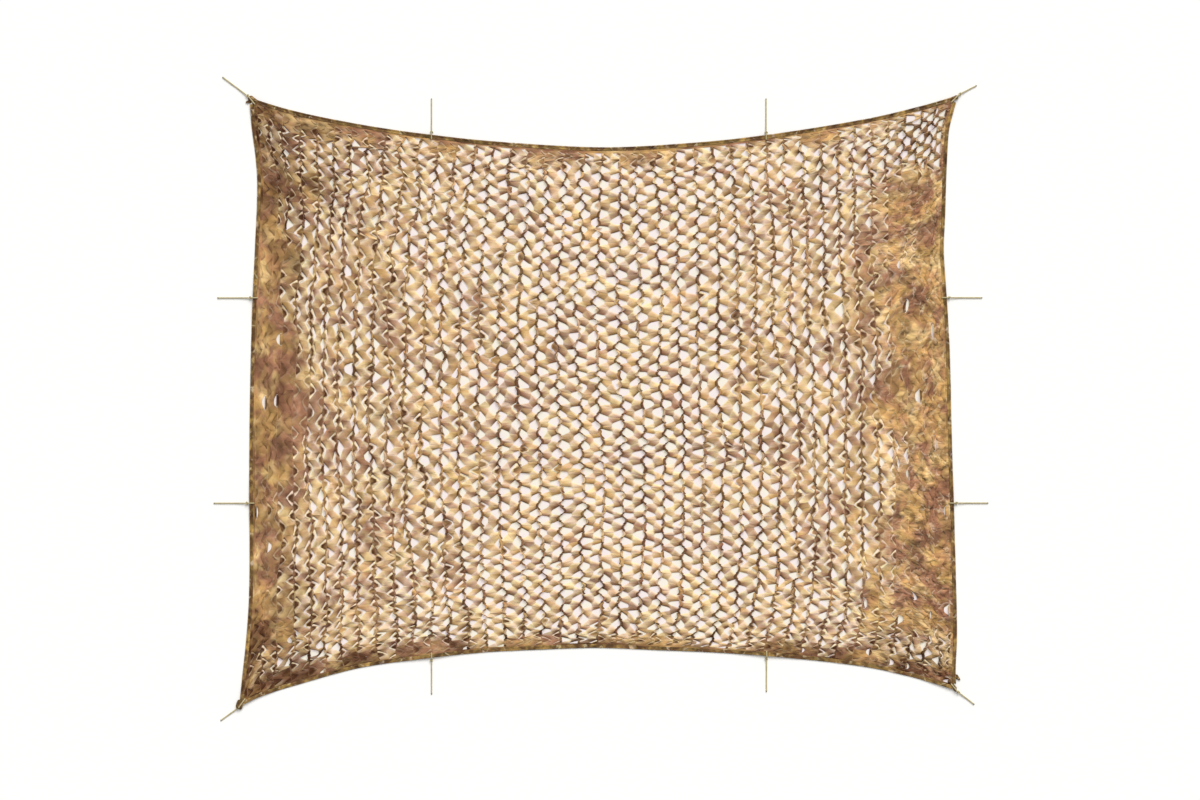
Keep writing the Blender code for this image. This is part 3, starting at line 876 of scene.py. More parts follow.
def weldPiece(piece):
    # joins the seams of closed tubes
    modifier = piece.modifiers.new("seams", "WELD")
    modifier.merge_threshold = 0.00002
    bpy.context.view_layer.update()
    evaluated = piece.evaluated_get(bpy.context.evaluated_depsgraph_get())
    mesh = bpy.data.meshes.new_from_object(evaluated)
    piece.modifiers.clear()
    piece.data = mesh
    return piece


# tie cords and their knots

rope = {
    "radius": 0.0040,
    "sides": 18,
    "ringStep": 0.0026,
    "twistLength": 0.030,
    "strandDepth": 0.22,
    "routeStep": 0.0120,
    "dropLength": 0.060,
    "hitchInset": 0.0272,
    "loopRadius": 0.98,  # as a share of the cord's own
    "knotHalfSize": (0.0094, 0.0104, 0.0080),
    "knotOut": 0.0098,
    "knotRadius": 0.0030,
    "knotStep": 0.0016,
    "knotPoints": 48,
}


def denser(points, step, closed=False):
    # a smooth curve through the points, with places a step apart
    points = np.asarray(points, float)
    if closed:
        padded = np.vstack((points[-1:], points, points[:2]))
    else:
        padded = np.vstack((2 * points[0] - points[1], points, 2 * points[-1] - points[-2]))
    found = []
    for before, start, finish, after in zip(padded, padded[1:], padded[2:], padded[3:]):
        count = max(2, round(float(np.linalg.norm(finish - start)) / step))
        for t in np.arange(count) / count:
            found.append(0.5 * (
                2 * start + (finish - before) * t
                + (2 * before - 5 * start + 4 * finish - after) * t ** 2
                + (3 * start - before - 3 * finish + after) * t ** 3
            ))
    found.append(found[0] if closed else points[-1])
    return np.array(found)


def ropeTube(line, radius, seedAngle=0.0, endBead=False):
    # three laid strands round a line of points; the end is sealed into a small bead
    steps = np.linalg.norm(np.diff(line, axis=0), axis=1)
    along = np.concatenate(([0.0], np.cumsum(steps)))
    tangent = np.gradient(line, axis=0)
    tangent /= np.linalg.norm(tangent, axis=1)[:, None]
    side = np.cross(tangent[0], (0.0, 0.0, 1.0))
    if np.linalg.norm(side) < 0.2:
        side = np.cross(tangent[0], (0.0, 1.0, 0.0))
    side /= np.linalg.norm(side)
    sides = []
    for direction in tangent:
        side = side - direction * (side @ direction)
        side /= np.linalg.norm(side)
        sides.append(side)
    sides = np.array(sides)
    ups = np.cross(tangent, sides)
    angle = np.linspace(0.0, 2.0 * math.pi, rope["sides"] + 1)
    turn = 2.0 * math.pi * along / rope["twistLength"] + seedAngle
    lobe = np.abs(np.cos(1.5 * (angle[None, :] - turn[:, None])))
    size = np.full(len(line), 1.0)
    burnt = np.zeros(len(line))
    if endBead:
        left = (along[-1] - along) / (2.4 * radius)
        size = np.where(left < 1.0, np.sqrt(np.clip(1.0 - (1.0 - left) ** 2, 0.0, 1.0)) * 1.04, 1.0)
        burnt = np.clip(1.3 - left, 0.0, 1.0) * 0.85
        lobe = lerp(lobe, 1.0, np.clip(1.4 - left, 0.0, 1.0)[:, None])
    reach = radius * size[:, None] * lerp(1.0 - rope["strandDepth"], 1.0, lobe)
    out = sides[:, None] * (reach * np.cos(angle))[..., None]
    places = line[:, None] + out + ups[:, None] * (reach * np.sin(angle))[..., None]
    flat = plan(along[:, None], radius * angle[None, :])
    # painted shade in the grooves between strands, and the burnt end's own darkening
    shadeAndBurn = np.maximum(burnt[:, None], 0.55 * (1.0 - lobe) ** 2)
    return places[None], flat[None], shadeAndBurn[None]


def closedTube(points, radius, step):
    return ropeTube(denser(points, step, closed=True), radius)


def lineCross(firstPoint, firstNext, secondPoint, secondNext):
    along = firstNext - firstPoint
    other = secondNext - secondPoint
    share = np.linalg.solve(np.array((along, -other)).T, secondPoint - firstPoint)[0]
    return firstPoint + along * share


def cornerInside(corner, inset):
    # a point inside both edges that meet at a corner
    end, side = corner.split("_")
    lines = []
    for edge in (side, end):
        shares = stationTable[edge][0]
        startsHere = edgeEnds[edge][0] == cornerTies[corner][0]
        near, far = (shares[0], shares[1]) if startsHere else (shares[-1], shares[-2])
        lines += [edgePoint(edge, near, inset), edgePoint(edge, far, inset)]
    return lineCross(*lines)


def hitchPlaces():
    # name: point inside the binding, point outside it, direction of the cord, its length
    places = {}
    gap = rope["radius"] + 2.0 * hem["gap"]
    for name, (edge, _, share, length) in sideTies.items():
        outward = -np.array(edgeEnds[edge][2])
        inner = edgePoint(edge, share, rope["hitchInset"])
        places[name] = (inner, edgePoint(edge, share, -gap), outward, length)
    for name, (corner, direction, length) in cornerTies.items():
        inner = cornerInside(name, rope["hitchInset"] + 0.001)
        outward = np.array(outline[corner]) - inner
        outward /= np.linalg.norm(outward)
        direction = np.array(direction) / np.linalg.norm(direction)
        places[name] = (inner, np.array(outline[corner]) + outward * gap, direction, length)
    return places


def tieLine(outer, direction, length):
    # from the knot down to the floor and straight out along it
    start = outer + direction * (rope["knotOut"] + rope["knotHalfSize"][0] + hem["gap"])
    count = max(2, round(length / rope["routeStep"]))
    out = length * np.arange(count + 1) / count
    ease = smooth(out / rope["dropLength"])
    height = lerp(rope["knotHalfSize"][2], rope["radius"] + hem["gap"], ease)
    return np.column_stack((start + direction * out[:, None], height))


def loopLine(inner, outer):
    # down through the net, under the binding, up outside it and back over
    low = hem["liftAtTie"] - hem["gap"] - rope["radius"]
    high = hem["liftAtTie"] + hem["height"] + hem["gap"] + rope["radius"]
    rise = (high - low) / 2.0
    middle = (high + low) / 2.0
    run = (outer - inner) / np.linalg.norm(outer - inner)
    ease = 0.42 * rise
    places = []
    for place, along, height in (
        (inner, 0.0, -0.5), (inner, ease, -1.0), (outer, -ease, -1.0), (outer, 0.0, -0.5),
        (outer, 0.0, 0.5), (outer, -ease, 1.0), (inner, ease, 1.0), (inner, 0.0, 0.5),
    ):
        places.append((*(place + run * along), middle + rise * height))
    return places


def knotLine(outer, direction):
    # a small overhand knot where the loop is closed
    centre = outer + direction * rope["knotOut"]
    across = np.array((-direction[1], direction[0]))
    sizeOut, sizeAcross, sizeUp = (half - 0.0031 for half in rope["knotHalfSize"])
    places = []
    for turn in np.arange(rope["knotPoints"]) / rope["knotPoints"] * 2.0 * math.pi:
        out = (math.sin(turn) + 2.0 * math.sin(2.0 * turn)) / 3.0
        side = (math.cos(turn) - 2.0 * math.cos(2.0 * turn)) / 3.0
        up = -math.sin(3.0 * turn)
        spot = centre + direction * out * sizeOut + across * side * sizeAcross
        places.append((*spot, rope["knotHalfSize"][2] + hem["gap"] + up * sizeUp))
    return places


def addTies():
    for number, (name, (inner, outer, direction, length)) in enumerate(hitchPlaces().items()):
        route = tieLine(outer, direction, length)
        line = denser(route, rope["ringStep"])
        tube = ropeTube(line, rope["radius"], 0.9 * number, endBead=True)
        cord = weldPiece(gridMesh(f"tieCord_{name}", [tube], ropeFinish))
        loop = closedTube(loopLine(inner, outer), rope["radius"] * rope["loopRadius"], rope["ringStep"])
        knot = closedTube(knotLine(outer, direction), rope["knotRadius"], rope["knotStep"])
        hitch = weldPiece(gridMesh(f"tieHitch_{name}", [loop, knot], ropeFinish))
        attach(cord, "root")
        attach(hitch, "root")
        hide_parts(f"tie_{name}")
        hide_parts(f"hitch_{name}")


addTies()
print("tie cords ready")

# the floor under the net: a patch of painted shadow, glowing with painted light tinted as if by the cloth

paintedNetShadow = {
    "inset": 0.012,
    "height": -0.0002,
    # a darker floor for painted shadow, and a glow of painted light tinted pink and straw
    "colour": (0.54, 0.50, 0.475, 1.0),
    "glow": 0.40,
    "glowColour": (1.0, 0.89, 0.93, 1.0),
    "glowTint": (1.0, 0.98, 0.78, 1.0),
    "sidePoints": 60,
}


def addPaintedNetShadow():
    share = np.arange(paintedNetShadow["sidePoints"]) / paintedNetShadow["sidePoints"]
    sides = (("top", share), ("right", share), ("bottom", 1.0 - share), ("left", 1.0 - share))
    ring = np.vstack([edgePoint(edge, along, paintedNetShadow["inset"]) for edge, along in sides])[::-1]
    corners = [(float(x), float(y), paintedNetShadow["height"]) for x, y in ring]
    tree, shader = addGround(
        "paintedNetShadow", corners, "paintedNetShadowFinish", paintedNetShadow["colour"], paintedNetShadow["glow"],
    )
    place = addNode(tree, "ShaderNodeNewGeometry", {}).outputs["Position"]
    # the painted light's tint, uneven over the floor
    tint = rangeNode(tree, noiseNode(tree, place, 14.0, 1.0), 0.42, 0.58)
    glow = mixNode(tree, tint, paintedNetShadow["glowColour"], paintedNetShadow["glowTint"])
    setInputs(tree, shader, {"Emission Color": glow})


addPaintedNetShadow()
print("floor tint ready")

# the net: slits that open into mouths

mouth = {
    # closed, open, torn and stretched
    "length": (0.42, 0.60, 0.42, 0.585),  # from its hinge to its tip, as a share of the column
    "half": (0.445, 0.298, 0.37, 0.355),  # half its height at the hinge, as a share of the row
    "taper": (0.94, 0.66, 0.10, 0.50),  # how much lower it is at its tip
    "tip": (5.0, 11.0, 2.4, 6.0),  # higher is blunter
    "torn": (0.014, 0.070),  # share of the closed slits that gape, left and right
    "tornLength": (0.45, 0.75),  # how long a torn one is, as a share of the usual
    "lengthLuck": 0.26,  # how much one mouth differs from another
    "halfLuck": 0.24,
    "cornerReach": 0.045,
    "cornerCut": 0.08,
    "hingeHalf": 0.030,  # half width of a spine, in columns
}


def cellGrid(columns, rows):
    # the column and row number of each cell, for one grid of points to a cell
    c, r = np.meshgrid(np.arange(columns, dtype=float), np.arange(rows, dtype=float), indexing="ij")
    return c.reshape(-1, 1, 1), r.reshape(-1, 1, 1)


def mouthAt(c, r, pointsRight):
    # how open a mouth is, whether it is torn, and its outline: length, half height, taper and tip
    isOpen = openAt(c + 0.5, r + 0.5 * pointsRight)
    tornShare = np.where(c < net["columns"] / 2.0, *mouth["torn"])
    isTorn = (cellRandom(c, r, 17 + pointsRight) < tornShare) * (1.0 - smooth(isOpen * 5.0))
    tear = lerp(1.0, vary(*mouth["tornLength"], cellRandom(c, r, 19 + pointsRight)), isTorn)
    longer = tear * (1.0 + mouth["lengthLuck"] * (cellRandom(c, r, 13 + pointsRight) - 0.5))
    taller = 1.0 + mouth["halfLuck"] * (cellRandom(c, r, 15 + pointsRight) - 0.5)
    isWide = stretchAt(c + 0.5, r + 0.5 * pointsRight)
    isOpen = np.maximum(isOpen, isWide)

    def size(name):
        closed, opened, torn, wide = mouth[name]
        return lerp(lerp(lerp(closed, opened, isOpen), wide, isWide), torn, isTorn)

    return isOpen, isTorn, (size("length") * longer, size("half") * taller, size("taper"), size("tip"))


def mouthHalf(out, shape):
    # half height of a mouth at a distance out from its hinge
    length, half, taper, tip = shape
    corner = 1.0 - mouth["cornerCut"] * falloff(out, mouth["cornerReach"])
    reach = np.clip(out / length, 0.0, 1.0)
    return half * corner * (1.0 - taper * reach) * np.sqrt(1.0 - reach ** tip)


def mouthDistance(out, rows, shape, width, tall):
    # distance in metres from a mouth's cut edge
    past = np.clip(out - shape[0], 0.0, None) * width
    return np.hypot(past, np.clip(rows - mouthHalf(out, shape), 0.0, None) * tall)


def archHeight(u, v, isOpen, away):
    # how high the cloth bulges at a distance in metres from its cut edge
    arch = lerp(lie["closedArch"], lie["openArch"], isOpen) * (0.85 + 0.5 * valueNoise(u * 0.9, v * 0.9, 23))
    return arch * (1.0 - np.exp(-away / lie["archReach"]))


# the net: spines, where the columns meet

spines = {
    "stepsEachRow": 8,
    "ridge": 0.0030,
    "shade": 0.92,
    "paintedLight": 0.34,
    "nearShade": 0.54,  # shade on the legs beside a spine
    "nearReach": 0.0050,
    "blot": (0.28, 0.76),  # least shade, and how much the darkest blots add
}


def spineBlot(c, v):
    # where a spine gets painted shade: in broken blots
    blot = 0.20 + 1.4 * valueNoise(c * 5.1, v * 1.3, 32) + 1.6 * valueNoise(c * 3.1, v * 5.2, 33)
    return vary(*spines["blot"], np.clip(blot, 0.0, 1.25))


def spineRibbons():
    columns, rows = net["columns"], net["rows"]
    c = np.arange(columns + 1, dtype=float)[:, None, None]
    v = (np.arange(rows * spines["stepsEachRow"] + 1) / spines["stepsEachRow"])[None, :, None]
    side = np.array((-1.0, 0.0, 1.0))[None, None, :]
    u = c + side * mouth["hingeHalf"]
    isOpen = openAt(u, v)
    tall = cellSize(np.clip(u, 1.0, columns - 1.0), np.clip(v, 1.0, rows - 1.0))[1]
    half = lerp(*mouth["half"][:2], isOpen) * (1.0 - mouth["cornerCut"])

    def legHeight(rowAway):
        return archHeight(u, v, isOpen, np.clip(rowAway - half, 0.0, None) * tall)

    right = legHeight(np.abs(v - np.floor(v) - 0.5))
    left = legHeight(np.abs(v - np.round(v)))
    ridge = spines["ridge"] * isOpen * (0.6 + valueNoise(c * 3.7, v * 2.3, 31))
    middle = np.maximum(right, left) * 0.7 + ridge
    height = np.where(side < 0.0, left, np.where(side > 0.0, right, middle))
    # painted shade in broken blots down each spine, and painted light on spines in open cloth
    shown = smooth(isOpen * 3.0) * lerp(0.72, 1.0, ramp(isOpen, 0.35, 0.4))
    shadeAndBurn = spines["shade"] * spineBlot(c, v) * (1.0 - 0.20 * np.abs(side)) * shown + bandShade(u, v)
    flat = plan(u * net["flatColumn"], v * net["flatRow"])
    return [(netPlace(u, v, height), flat, shadeAndBurn, spines["paintedLight"] * isOpen)]


# the net: legs between the mouths

legs = {
    "steps": (0.0, 0.07, 0.50, 0.93, 1.0),
    "tipSteps": (0.0, 0.012, 0.060),  # and these, back from the tip of each of its two mouths
    "across": (0.0, 0.20, 0.72, 1.0),
    "lift": 0.007,  # how far one leg lies above another
    "liftReach": 0.012,
    "lowerShade": (0.55, 0.60),  # painted shade along the cut edge over a mouth
    "shadeReach": 0.0049,
    "underShade": (0.075, 0.30),
    "underReach": 0.0130,
    "wideShade": 0.22,
    "paintedLight": (-0.03, 0.16),
    "rimHighlight": 1.0,  # painted highlight on the turned-over rim under a mouth
    "rimReach": 0.0068,
    "tipReach": 0.0140,
    "crinkle": (0.10, 0.40),  # how strongly closed slits show as painted shade and highlight, left and right
    "crinkleReach": 0.0085,
    "printShift": 0.055,  # how far the print of one leg is shifted from the next
}


def crossLegs():
    c, r = cellGrid(net["columns"], net["rows"])
    q = np.array(legs["across"])
    evenSteps = np.broadcast_to(legs["steps"], (len(c), len(legs["steps"])))
    tipSteps = np.array(legs["tipSteps"])
    rightOpen, _, rightShape = mouthAt(c, r, 1)
    width, tall = cellSize(c + 0.5, r + 0.5)
    parts = []
    for second in (0, 1):
        # a is the share across the column, b the rows from the left mouths' middle line
        leftOpen, _, leftShape = mouthAt(c, r + second, 0)
        leftTip, rightTip = leftShape[0][..., 0], rightShape[0][..., 0]
        a = np.sort(np.hstack((evenSteps, 1.0 - leftTip + tipSteps, rightTip - tipSteps)), axis=1)[..., None]
        nearLeft = mouthHalf(1.0 - a, leftShape)
        nearRight = 0.5 - mouthHalf(a, rightShape)
        b = lerp(nearLeft, nearRight, 1.0 - q if second else q)
        leftAway = mouthDistance(1.0 - a, b, leftShape, width, tall)
        rightAway = mouthDistance(a, 0.5 - b, rightShape, width, tall)
        below, above = (leftAway, rightAway) if second else (rightAway, leftAway)
        belowTip = smooth(((1.0 - a) / leftShape[0] if second else a / rightShape[0]) * 3.0 - 2.1)
        row = 1.0 - b if second else b
        u = c + mouth["hingeHalf"] + (1.0 - 2.0 * mouth["hingeHalf"]) * a
        v = r + row
        isOpen = lerp(leftOpen, rightOpen, 1.0 - a)
        isWide = stretchAt(u, v)
        luck, other, third, flick = (cellRandom(c, r, seed + second) for seed in (21, 27, 29, 35))

        free = smooth(a / 0.35) * smooth((1.0 - a) / 0.35)
        height = archHeight(u, v, isOpen, np.minimum(below, above))
        height = height + free * isOpen * (luck - 0.4) * legs["lift"] * np.exp(-above / legs["liftReach"])

        # painted shade: along the cut edge over a mouth, beside the spines, in bunched cloth, along crinkled
        # slits and on stretched cells
        halfOpen = ramp(isOpen, 0.25, 0.5)
        blotted = patchy(0.75, 0.8, u * 1.7, v * 1.9, 25)
        shadeAndBurn = vary(*legs["lowerShade"], third) * falloff(below, legs["shadeReach"]) * blotted
        shadeAndBurn = shadeAndBurn + vary(*legs["underShade"], other) * falloff(below, legs["underReach"])
        shadeAndBurn = shadeAndBurn * lerp(1.0, 0.90, halfOpen) * smooth(isOpen * 4.0) * (1.0 - 0.85 * belowTip)
        beside = falloff(np.minimum(a, 1.0 - a) * width, spines["nearReach"])
        beside = spines["nearShade"] * beside * spineBlot(np.round(u), v) * smooth(isOpen * 3.0)
        crinkle = lerp(*legs["crinkle"], ramp(c, net["columns"] / 2.0, 4.0)) * (1.0 - smooth(isOpen * 4.0))
        shadeAndBurn = shadeAndBurn + bandShade(u, v) + beside
        shadeAndBurn = shadeAndBurn + crinkle * ramp(flick, 0.40, 0.20) * falloff(below, legs["crinkleReach"])
        shadeAndBurn = shadeAndBurn + legs["wideShade"] * isWide

        # painted light: a highlight along the rim over a mouth and at the tips, over the open cloth, along
        # crinkled slits and on the corner ridges
        blotted = patchy(0.95, 0.8, u * 1.9, v * 1.7, 26) * (1.0 - 0.85 * isWide)
        rimReach = legs["rimReach"] * lerp(1.7, 1.0, halfOpen)
        rimLuck = lerp(0.60 + 0.50 * ramp(third, 0.32, 0.16), 1.0, ramp(isOpen, 0.40, 0.3))
        rim = legs["rimHighlight"] * (falloff(above, rimReach) + belowTip * falloff(below, legs["tipReach"]))
        rim = rim * rimLuck * blotted * smooth(isOpen * 3.0) * (1.0 - 0.9 * cornerNear(placeAt(u, v)))
        paintedLight = isOpen * vary(*legs["paintedLight"], luck) + rim
        paintedLight = paintedLight + crinkle * ramp(flick, 0.55, 0.20) * falloff(above, legs["crinkleReach"])
        paintedLight = paintedLight + ridgeLight(placeAt(u, v))

        shift = legs["printShift"] * smooth(isOpen * 3.0)
        flatX = (c + a) * net["flatColumn"] + shift * (luck - 0.5) * 2.0
        flatY = (r + row) * net["flatRow"] + shift * (other - 0.5) * 2.0
        parts.append((netPlace(u, v, height), plan(flatX, flatY), shadeAndBurn, paintedLight))
    return parts


# the net: leaves, the flaps that the slits leave

leaves = {
    "lengthSteps": (0.0, 0.20, 0.42, 0.62, 0.84, 1.0),
    "acrossSteps": (-1.0, -0.76, -0.48, 0.0, 0.48, 0.76, 1.0),
    "length": 0.039,
    "curledLength": (0.62, 0.40),  # share of it that shows in a curled leaf
    "rest": 0.0012,  # how far it lies above the cloth
    "maxHeight": 0.016,
    "tipLift": 0.007,
    "gap": (0.09, 0.30),  # how far a flat leaf draws back from its slit, as a share of its length
    "lying": 0.03,  # share of the leaves in open cloth that lie across half of their mouth
    "lyingGap": (0.40, 0.25),
    "upright": 0.12,  # share of the curled leaves that stand up instead of rolling over
    "flatTurn": (0.15, 0.5),  # how far a leaf bends from hinge to tip, in radians
    "curledTurn": (3.2, 2.2),
    "uprightTurn": 2.2,
    "shade": 0.95,  # inside an open slit
    "closedShade": 0.25,
    "rimShade": 0.45,
    "curledShade": (0.10, 0.75),  # on the light and the dark half of the curled leaves
}


def slitLeaves():
    steps = np.array(leaves["lengthSteps"])[:, None]
    across = np.array(leaves["acrossSteps"])
    parts = []
    for pointsRight in (1, 0):
        c, r = cellGrid(net["columns"], net["rows"] + 1 - pointsRight)
        isOpen, isTorn, shape = mouthAt(c, r, pointsRight)
        luck, other, third = (cellRandom(c, r, seed + pointsRight) for seed in (41, 43, 45))
        atTop = r + pointsRight == 0
        atBottom = r == net["rows"]
        sides = np.where(atTop, (across + 1.0) / 2.0, np.where(atBottom, (across - 1.0) / 2.0, across))
        rowMiddle = r + 0.5 * pointsRight
        hinge = c + mouth["hingeHalf"] if pointsRight else c + 1.0 - mouth["hingeHalf"]
        out = 1.0 if pointsRight else -1.0
        width, _ = cellSize(c + 0.5, rowMiddle)

        # how it lies: curled over, flat, or flat across half of its mouth
        lying = (cellRandom(c, r, 48 + pointsRight) < leaves["lying"]) * ramp(isOpen, 0.45, 0.2)
        curl = smooth((isOpen - 0.45 + 0.55 * (luck - 0.5)) / 0.14) * (1.0 - lying)
        curl = np.maximum(curl, isTorn)
        gap = smooth((isOpen - 0.04) * 3.0) * vary(*leaves["gap"], other)
        gap = np.maximum(gap, lying * vary(*leaves["lyingGap"], other)) - 0.04 * (1.0 - smooth(isOpen * 4.0))
        flatLength = shape[0] * width * (1.0 - gap)
        length = lerp(flatLength, leaves["length"] * vary(*leaves["curledLength"], other), curl)
        isUpright = third > 1.0 - leaves["upright"]
        curledTurn = np.where(isUpright, leaves["uprightTurn"], vary(*leaves["curledTurn"], other))
        turn = lerp(vary(*leaves["flatTurn"], other), curledTurn, curl)
        angle = turn * steps
        height = length * (1.0 - np.cos(angle)) / turn
        height = leaves["maxHeight"] * np.tanh(height / leaves["maxHeight"])
        height = height + leaves["tipLift"] * (third - 0.35) * steps ** 2 * (1.0 - curl) + leaves["rest"]
        mouthEdge = mouthHalf(steps * shape[0], shape)
        flatHalf = mouthEdge * (1.0 - gap * smooth(steps / 0.5) * 0.9)
        curledHalf = mouthEdge[:, :1] * (0.95 - 0.45 * steps)
        skew = 0.08 * (third - 0.5) * steps * (0.4 + curl)
        v = rowMiddle + sides * lerp(flatHalf, curledHalf, curl * 0.8) + skew
        u = hinge + out * (length * np.sin(angle) / turn) / width

        # its painted shade and light: painted shade inside the slit and on curled leaves, a painted highlight
        # along lit rims
        someOpen = smooth(isOpen * 6.0)
        isFlat = 1.0 - curl
        ragged = patchy(0.7, 0.8, u * 2.7, v * 2.7, 47)
        rim = np.maximum(ramp(np.abs(sides), 0.50, 0.25), ramp(steps, 0.62, 0.20))
        inner = (0.45 + 0.55 * np.maximum(smooth(np.abs(sides) / 0.45), smooth(steps / 0.5))) * (1.0 - rim)
        sideLuck = 0.60 + 0.40 * ramp(np.where(sides > 0.0, other, third), 0.40, 0.12)
        lit = lerp(sideLuck, ramp(luck, 0.04, 0.16), ramp(isOpen, 0.40, 0.3)) * someOpen
        lightCurl, darkCurl = leaves["curledShade"]
        inside = lerp(leaves["closedShade"], leaves["shade"], someOpen)
        shadeAndBurn = curl * ramp(steps, 0.1, 0.6) * np.where(other > 0.5, darkCurl, lightCurl)
        shadeAndBurn = shadeAndBurn + isFlat * ragged * inner * inside * (1.0 - 0.8 * lying)
        shadeAndBurn = shadeAndBurn + isFlat * rim * leaves["rimShade"] * ragged * (1.0 - lit) + bandShade(u, v)
        paintedLight = isFlat * (0.10 * isOpen + 0.3 * lying + rim * lit) + curl * 0.4 * (other < 0.35)

        shift = legs["printShift"] * smooth(isOpen * 3.0)
        flatX = hinge * net["flatColumn"] + out * steps * leaves["length"] + shift * (luck - 0.5) * 2.0
        flatY = (rowMiddle + sides * mouthEdge) * net["flatRow"] + shift * (third - 0.5) * 2.0
        parts.append((netPlace(u, v, height), plan(flatX, flatY), shadeAndBurn, paintedLight))
    return parts


# the net: plain margin that runs into the binding


def marginStrips():
    columns, rows = net["columns"], net["rows"]
    ends = -2.0 * (net["margin"] - net["marginOut"]) / (2.0 - net["margin"])
    outwards = np.array((1.0, 0.5, 0.0)) * ends
    alongU = (np.arange(columns * 6 + 1) / 6.0)[:, None]
    alongV = np.arange(rows * 6 + 1) / 6.0
    longV = np.concatenate((outwards[:2], alongV, rows - outwards[1::-1]))[:, None]
    inwards = outwards[::-1]
    parts = []
    for u, v in ((outwards, longV), (columns - inwards, longV), (alongU, outwards), (alongU, rows - inwards)):
        u, v = np.broadcast_arrays(u, v)
        pucker = 0.0012 * valueNoise(u * 5.0, v * 5.0, 51)
        flat = plan(u * net["flatColumn"], v * net["flatRow"])
        # painted shade on the margin, uneven
        shadeAndBurn = bandShade(u, v) + np.clip(0.16 + 0.4 * valueNoise(u * 2.3, v * 2.3, 53), 0.0, 0.5)
        parts.append((netPlace(u, v, pucker)[None], flat[None], shadeAndBurn[None]))
    return parts


netCloth = gridMesh("netCloth", crossLegs() + marginStrips(), netMaterial)
netLeaves = gridMesh("netLeaves", slitLeaves(), netMaterial)
netSpines = gridMesh("netSpines", spineRibbons(), netMaterial)
netPieces = (netCloth, netLeaves, netSpines)
print("net ready:", [len(piece.data.polygons) for piece in netPieces], "faces")

# binding

hemSection = (
    # inset from the outer edge, height, both in mm
    (21.8, 1.7), (22.0, 0.5), (16.0, 0.1), (9.5, 0.3), (4.5, 0.0), (1.4, 0.7), (0.1, 2.6),
    (0.2, 4.6), (1.6, 6.2), (4.4, 6.9), (7.4, 6.2), (9.4, 4.9), (13.0, 5.4), (17.6, 4.9),
    (20.4, 5.3), (22.0, 4.5), (22.1, 3.4), (21.8, 1.7),
)


def addBinding(edge):
    count = round(edgeLength(edge) / hem["step"])
    shares = stationTable[edge][0]
    first, last = (shares[1], shares[-2]) if edge in ("left", "right") else (0.0, 1.0)
    along = np.linspace(first, last, count)[:, None]
    metres = along * edgeLength(edge)
    section = np.array(hemSection) / 1000.0
    inset, height = section.T[:, None, :]
    seed = 60 + list(edgeEnds).index(edge)
    wave = metres / hem["puckerLength"] * math.pi * 2.0
    pucker = np.sin(wave + 2.0 * valueNoise(metres * 20.0, 0.0, seed))
    # painted shade in the groove of the fold, along the outer edge and in the valleys of the puckers
    groove = falloff(inset - 0.0096, 0.0016) * (height > 0.003)
    outside = smooth((0.0016 - inset) / 0.0016)
    shadeAndBurn = 0.45 * groove + 0.55 * outside
    shadeAndBurn = shadeAndBurn + 0.25 * np.clip(-pucker, 0.0, 1.0) * ramp(inset, 0.016, 0.005)
    lengths = np.linalg.norm(np.diff(section, axis=0), axis=1)
    flat = plan(metres + 3.0 * seed, np.concatenate(([0.0], np.cumsum(lengths))))
    raised = ramp(height, 0.003, 0.002)
    soft = valueNoise(metres * 9.0, 0.0, seed + 10)
    inset = inset + 0.0012 * soft * (0.3 + inset / 0.022) + 0.0006 * pucker * (inset / 0.022) + 0.0004
    rumple = 0.0007 * valueNoise(metres * 16.0, inset * 90.0, seed + 20)
    height = height + raised * (0.0005 * pucker * smooth(inset / 0.01) + rumple)
    places = edgePoint(edge, along) + np.array(edgeEnds[edge][2]) * inset[..., None]
    z = liftAt(edge, along) + np.clip(height, 0.0001, None)
    grid = np.concatenate((places, z[..., None]), axis=-1)
    if edge in ("top", "right"):
        grid, flat, shadeAndBurn = grid[::-1], flat[::-1], shadeAndBurn[::-1]
    parts = [(grid[None], flat[None], shadeAndBurn[None])]
    for end in (0, -1):  # the cut ends are folded shut, with painted shade on them
        ring = grid[end]
        inside = lerp(ring.mean(axis=0), ring, 0.5)
        cap = np.stack((ring, inside) if end else (inside, ring))
        parts.append((cap[None], flat[end], 0.5))
    piece = weldPiece(gridMesh(f"binding_{edge}_cloth", parts, hemMaterial))
    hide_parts(f"binding_{edge}")
    return piece


def addStitches():
    angles = np.linspace(0.0, 2.0 * math.pi, 5)
    offsets = np.array((-0.5, -0.38, 0.38, 0.5)) * hem["stitchLength"]
    bury = np.array((-0.0006, 0.0, 0.0, -0.0006))  # the ends of a stitch go into the cloth
    radius = hem["stitchRadius"] * np.array((0.35, 1.0, 1.0, 0.35))[:, None, None]
    up = np.array((0.0, 0.0, 1.0))
    parts = []
    for edge in edgeEnds:
        length = edgeLength(edge)
        metres = np.arange(0.03, length - 0.03, hem["stitchStep"])[:, None] + offsets
        share = metres / length
        inset = hem["stitchInset"] + 0.0004 * valueNoise(metres * 30.0, 0.0, 71)
        place = edgePoint(edge, share) + np.array(edgeEnds[edge][2]) * inset[..., None]
        z = liftAt(edge, share) + hem["stitchHeight"] + bury
        line = np.concatenate((place, z[..., None]), axis=-1)
        run = line[:, -1:] - line[:, :1]
        run /= np.linalg.norm(run, axis=-1)[..., None]
        side = np.cross(run, up)[:, :, None]
        ring = side * np.cos(angles)[:, None] + up * np.sin(angles)[:, None]
        places = line[:, :, None] + ring * radius
        parts.append((places, plan(metres[..., None], 0.001 * angles), 0.0))
    return gridMesh("bindingStitches", parts, threadFinish)


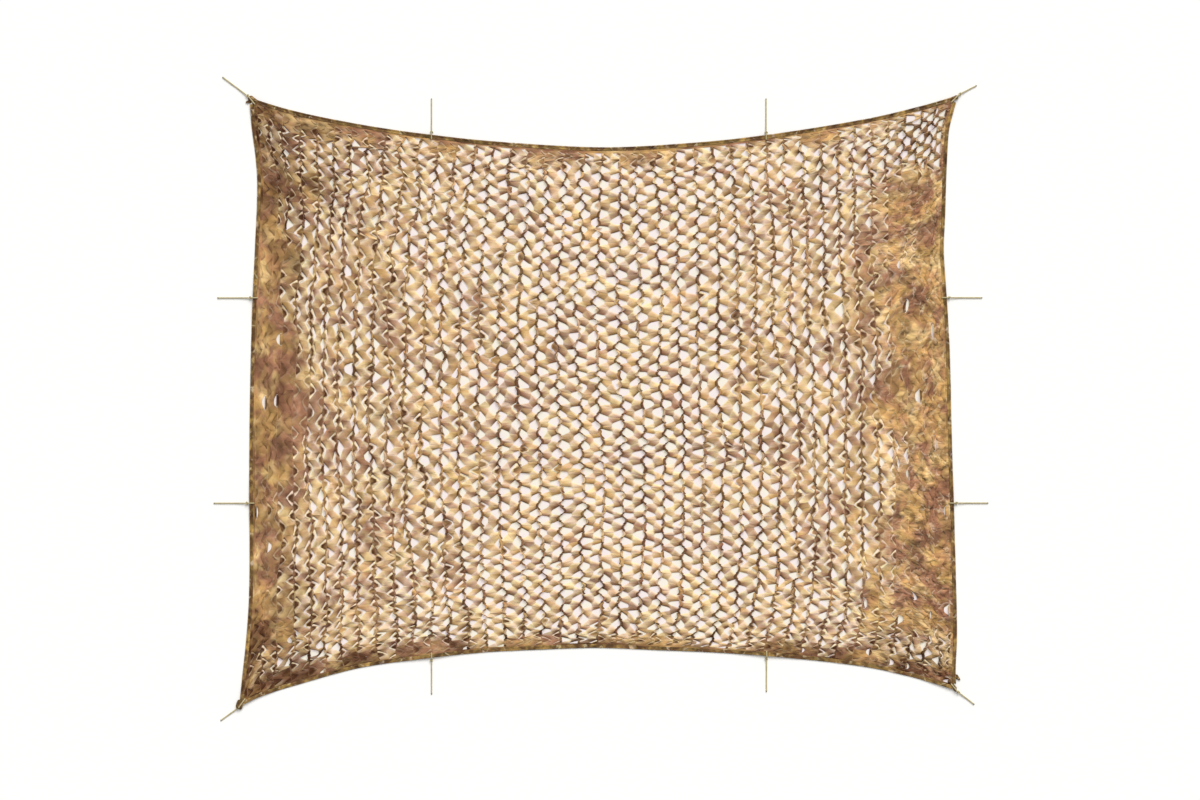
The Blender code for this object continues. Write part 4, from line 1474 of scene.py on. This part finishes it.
cornerBunches = {
    # name: middle, direction in degrees, half length, half width, half height, pleats, thinning
    "top_left": ((-1.974, 1.7215), -20.0, 0.031, 0.017, 0.0118, 5, 0.55),
    "top_left_flap": ((-2.000, 1.7080), 188.0, 0.018, 0.009, 0.0060, 3, 0.35),
    "top_right": ((2.030, 1.7290), 25.0, 0.027, 0.013, 0.0095, 4, 0.30),
    "bottom_left": ((-2.050, -1.7330), 252.0, 0.029, 0.019, 0.0115, 5, 0.10),
    "bottom_right": ((2.032, -1.6420), -60.0, 0.020, 0.012, 0.0090, 4, 0.40),
    "bottom_right_flap": ((2.048, -1.5800), -42.0, 0.022, 0.012, 0.0065, 3, 0.45),
}


def addBunch(name, middle, heading, halfLength, halfWidth, halfHeight, pleats, thinning):
    # the binding's ends, gathered into pleats and turned under where the corner tie pulls
    seed = 90 + list(cornerBunches).index(name)
    along = np.linspace(-1.0, 1.0, 26)[:, None]
    angle = np.linspace(0.0, 2.0 * math.pi, 41)[None, :]
    size = np.clip(1.0 - np.abs(along) ** 3.4, 0.0, 1.0) ** 0.5
    size = size * (1.0 - thinning * smooth((along + 1.0) / 2.0))  # thinner towards the far end
    rumple = valueNoise(along * 2.2 + 5.0, 3.0 * np.cos(angle) + 4.0, seed)
    pleat = 1.0 + 0.15 * np.cos(pleats * angle + 1.6 * along + seed) + 0.12 * rumple
    side = halfWidth * size * pleat * np.cos(angle)
    up = halfHeight * size * (pleat * np.sin(angle)) * 0.88
    out = halfLength * along + 0.12 * halfLength * rumple * size
    turn = math.radians(heading)
    x = middle[0] + out * math.cos(turn) - side * math.sin(turn)
    y = middle[1] + out * math.sin(turn) + side * math.cos(turn)
    z = np.clip(halfHeight * 1.02 + up, 0.0002, None)
    flat = plan(out + 0.7 * seed, halfWidth * angle)
    # painted shade in the valleys between pleats, and the whole bunch a little darker
    shadeAndBurn = 0.75 * np.clip(1.12 - pleat, 0.0, 0.4) * 2.5 + 0.10
    grid = np.stack((x, y, z), axis=-1)
    return weldPiece(gridMesh(f"bindingBunch_{name}", [(grid[None], flat[None], shadeAndBurn[None])], hemMaterial))


bindings = [addBinding(edge) for edge in edgeEnds]
bindings += [addBunch(name, *values) for name, values in cornerBunches.items()]
stitches = addStitches()
for piece in (*bindings, stitches):
    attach(piece, "root")
print("binding ready")

for piece in netPieces:
    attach(piece, "root")
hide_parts("net_panel")
